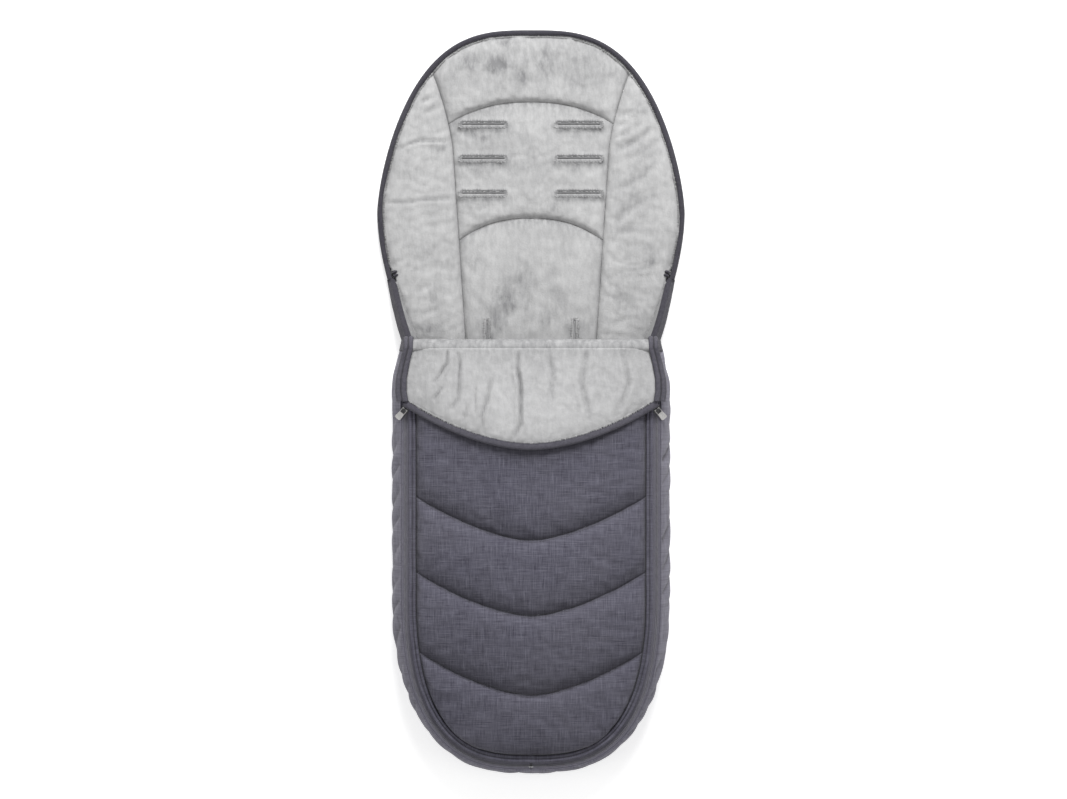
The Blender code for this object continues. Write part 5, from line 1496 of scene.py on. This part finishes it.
def flap_plush():
    """The plush face of the flap, with its long folds."""
    rows, columns = 50, 140
    plan = flap_plan(rows, columns, plush_half)
    across, along = np.meshgrid(even(columns), even(rows))
    plan[..., 1] -= 0.0011 * ease(along * 10 - 9)
    x, y = plan[..., 0], plan[..., 1]
    base = flap_under(x, y) + 0.0066 - 0.0003 * np.exp(-((FOLD_Y - y) / 0.002) ** 2)
    left, right, _, _ = edge_distances(plan)
    hem_gap = (y - hem_y(np.linspace(-1, 1, columns + 1)[None]))
    full = np.maximum(round_over(np.minimum(left, right), 0.010) * round_over(hem_gap, 0.009),
                      pillow(across, (1 + along) / 2))
    top = np.concatenate([plan, (base + 0.0030 + 0.0045 * full)[..., None]], axis=-1)
    top = settle(top, rim_mask(top), pressure=1.3, spare=0.008, cap=0.0020, hold=0.20)
    # Painted shade along the fold line and in the long folds, in step with their depth.
    folded = 0.30 * np.exp(-((y - FOLD_Y) / 0.012) ** 2)
    for path, width, depth in FLAP_FOLDS:
        dent = crease(top, path, 0.55 * width, depth)
        top[..., 2] += 1.7 * dent
        folded += np.clip(-dent / 0.0040, 0, 1)
    top[..., 2] += 0.0006 * smooth_noise(top, 0.034, 31) * full * ease((FOLD_Y - y) / 0.012)
    low = np.concatenate([plan, base[..., None]], axis=-1)
    plush_face = mesh_from_grids("flap_plush", [top, low], FLAP_PLUSH)
    brush(plush_face, 0.65 * folded + 0.15 * np.clip(smooth_noise(top, 0.045, 37), 0, 1))
    lean = unit(with_height(np.stack([np.gradient(top[-1, :, 1], top[-1, :, 0]), -np.ones(columns + 1)], -1), 0.0))
    fringe("hem_fringe", top[-1] + [0, 0.0016, 0.0006], lean, "flap", FLAP_PLUSH, length=0.0036, pitch=0.0009)
    return dress(plush_face, "flap", "flap_lining", fill=0.65)


def flap_layer(name, node, low, high, finish, fill):
    """A smooth layer of the flap below its plush."""
    plan = flap_plan(18, 40)
    base = flap_under(plan[..., 0], plan[..., 1])
    grids = [np.concatenate([plan, (base + level)[..., None]], axis=-1) for level in (high, low)]
    return dress(mesh_from_grids(name, grids, finish), "flap", node, fill=fill)


def flap_hem():
    """The bound hem, a soft flat tube of tape."""
    share = np.linspace(-1, 1, 241)
    slope = np.gradient(hem_y(share), share * FLAP_HALF)
    normals = np.stack([slope, -np.ones_like(slope)], axis=-1)
    normals /= np.linalg.norm(normals, axis=1, keepdims=True)
    line = np.stack([share * FLAP_HALF, hem_y(share)], axis=-1) + normals * 0.0050
    base = np.maximum.reduce([flap_under(line[:, 0], line[:, 1] + shift) for shift in (-0.0044, 0, 0.0044)]) + CLEAR
    turn = full_turn(24)
    wave = 1 + 0.07 * smooth_noise(with_height(line, 0.0), 0.022, 33)
    out = 0.0053 * squared_off(np.cos(turn), 0.65)
    up = 0.0050 * (1 + squared_off(np.sin(turn), 0.8))
    sections = np.stack([np.broadcast_to(out, (241, 24)), up[None] * wave[:, None]], axis=-1)
    hem = sweep("flap_hem", with_height(line, base), normals, sections, HEM_TAPE, loop_section=True)
    stitches("hem_stitches", [with_height(line - normals * 0.0030, base + 0.0096 * wave)], "flap", THREAD)
    return dress(hem, "flap", "flap_hem_binding")


def flatten_at_fold(piece):
    """Give a rounded piece its own copy of its mesh."""
    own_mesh(piece)


def fold_roll():
    """The rounded fold between apron and flap."""
    along = np.linspace(-0.158, 0.158, 121)
    turn = full_turn(32)
    ridge = smooth_noise(np.stack([along, 0 * along, 0 * along], -1), 0.018, 35)
    radius = ROLL_RADIUS * (1 + 0.03 * ridge)
    places = np.stack([along, np.full(121, FOLD_Y), np.full(121, FOLD_Z)], axis=-1)
    outs = np.tile([0.0, 1.0], (121, 1))
    fuller = np.sin(turn).clip(0) ** 1.5 * (1 + 3 * np.minimum(np.cos(turn) + 0.12, 0)).clip(0)
    radius = radius[:, None] + 0.0029 * fuller
    sections = np.stack([radius * np.cos(turn), radius * np.sin(turn)], axis=-1)
    roll = sweep("fold_roll", places, outs, sections, FLAP_PLUSH, loop_section=True)
    # Painted shade on the roll, strongest on its side toward the head, so it reads no brighter than the plush around
    # it; none on its lower part.
    nap_and_shade = np.tile(0.38 + 0.40 * np.cos(turn).clip(0) ** 2, (121, 1))
    brush(roll, nap_and_shade * (1 + 0.2 * ridge[:, None]) * (np.sin(turn) > -0.2))
    roll.data.materials.append(MELANGE)
    for polygon in roll.data.polygons:
        polygon.material_index = int(polygon.center[2] < FOLD_Z - 0.0040)
    dress(roll, "flap", "fold_edge", fill=0.7)
    flatten_at_fold(roll)
    return roll


def side_strip(side, word):
    """Binding and open zip tape down one side of the flap: two ribs with a groove between them."""
    turn = np.linspace(math.radians(-35), math.radians(90), 26)
    run = np.linspace(0, 1, 45)[1:]
    radius = ROLL_RADIUS + 0.0012
    line_y = np.concatenate([FOLD_Y + radius * np.cos(turn), mix(FOLD_Y, hem_y(1) - 0.0030, run)])
    rest = float(flap_under(0.155, FOLD_Y - 0.02)) + 0.0104
    line_z = np.concatenate([FOLD_Z + radius * np.sin(turn), mix(FOLD_Z + radius, rest, ease(run * 2))])
    along = np.clip((FOLD_Y - line_y) / FLAP_SIDE_LENGTH, 0, 1)
    near = np.interp(along, (0, 0.3, 0.6, 0.85, 1.0), (0.1552, 0.1600, 0.1640, 0.1640, 0.1620))
    far = np.interp(along, (0, 0.3, 0.6, 0.85, 1.0), (0.1682, 0.1740, 0.1788, 0.1795, 0.1780))
    tangent = np.gradient(np.stack([0 * line_y, line_y, line_z], -1), axis=0)
    tangent /= np.linalg.norm(tangent, axis=1, keepdims=True)
    ups = np.stack([0 * line_y, tangent[:, 2], -tangent[:, 1]], -1)
    across = np.linspace(0, 1, 21)
    hump = np.where(across < 0.52, np.sin(math.pi * across / 0.52).clip(0) ** 0.6,
                    0.8 * np.sin(math.pi * (across - 0.52) / 0.48).clip(0) ** 0.6)
    wave = smooth_noise(np.stack([line_y, line_z, 0 * line_y], -1), 0.014, 44 + side)
    droop = -0.0048 * (across ** 1.5)[None] * np.clip(along * 4, 0, 1)[:, None]
    up = 0.0012 + (0.0022 + 0.0003 * wave[:, None]) * hump[None] + droop
    x = side * mix(near[:, None], far[:, None], across)
    middle = np.stack([x, np.broadcast_to(line_y[:, None], x.shape), np.broadcast_to(line_z[:, None], x.shape)], -1)
    top = middle + ups[:, None] * up[..., None]
    low = middle + ups[:, None] * (up - 0.0012 - 0.0022 * hump - 0.0006)[..., None]
    cloth = np.stack([np.broadcast_to(run_of(middle[:, 0])[:, None], x.shape),
                      np.broadcast_to(0.013 * across, x.shape)], -1)
    strip = mesh_from_grids("flap_side_" + word, [top, low], HEM_TAPE, cloth=cloth)
    # Painted shade in the groove between the two ribs and along both edges of the strip.
    groove = (0.9 * np.exp(-((across - 0.52) / 0.07) ** 2) + 0.5 * ease((across - 0.80) / 0.2)
              + 0.4 * ease((0.12 - across) / 0.12))
    brush(strip, np.tile(groove, (len(line_y), 1)))
    dress(strip, "flap", "zip_tape_flap_" + word)
    flatten_at_fold(strip)
    return strip


flap_plush()
flap_layer("flap_filling", "flap_wadding", 0.0018, 0.0063, FLEECE, 0.5)
flap_layer("flap_cloth", "flap_shell", 0.0, 0.0015, MELANGE, 0.2)
flap_hem()
fold_roll()
for side, word in SIDES:
    side_strip(side, word)
print("flap done")


# %% Folded tape ends
def tape_end(side, word):
    """The end of the zip tape, folded under itself into a small two-lobed knob."""
    point, out = walk(ZIP_LINE, [0.0])
    point, out = point[0] * [side, 1], out[0] * [side, 1]
    along = np.array([-out[1], out[0]])
    along = along if along[1] > 0 else -along
    low = float(zip_height(point[1]))
    run = np.linspace(0, 1, 21)
    lobes = 1 - ((1 + np.cos(4 * math.pi * run)) / 2) ** 2 * 0.62
    places = with_height(point + along * (CLEAR + 0.0095 * run)[:, None], low)
    turn = full_turn(16)
    sections = np.stack([-0.0022 + 0.0038 * lobes[:, None] * np.cos(turn),
                         0.0034 * lobes[:, None] * (1 + np.sin(turn))], axis=-1)
    return dress(sweep("tape_knob_" + word, places, np.tile(out, (21, 1)), sections, HEAD_TAPE, loop_section=True),
                 "back", "tape_end_" + word)


for side, word in SIDES:
    tape_end(side, word)

# %% [markdown]
# ## Metal
# The sliders, their pull tabs and the end stops are right as solids, so they stay and only take
# a plated finish.

# %% Metal finish on the solids
for name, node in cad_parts.items():
    if name.startswith(("slider_", "pull_", "zip_stop_")):
        node.data.materials.clear()
        node.data.materials.append(NICKEL if name.startswith("pull_") else GUNMETAL)
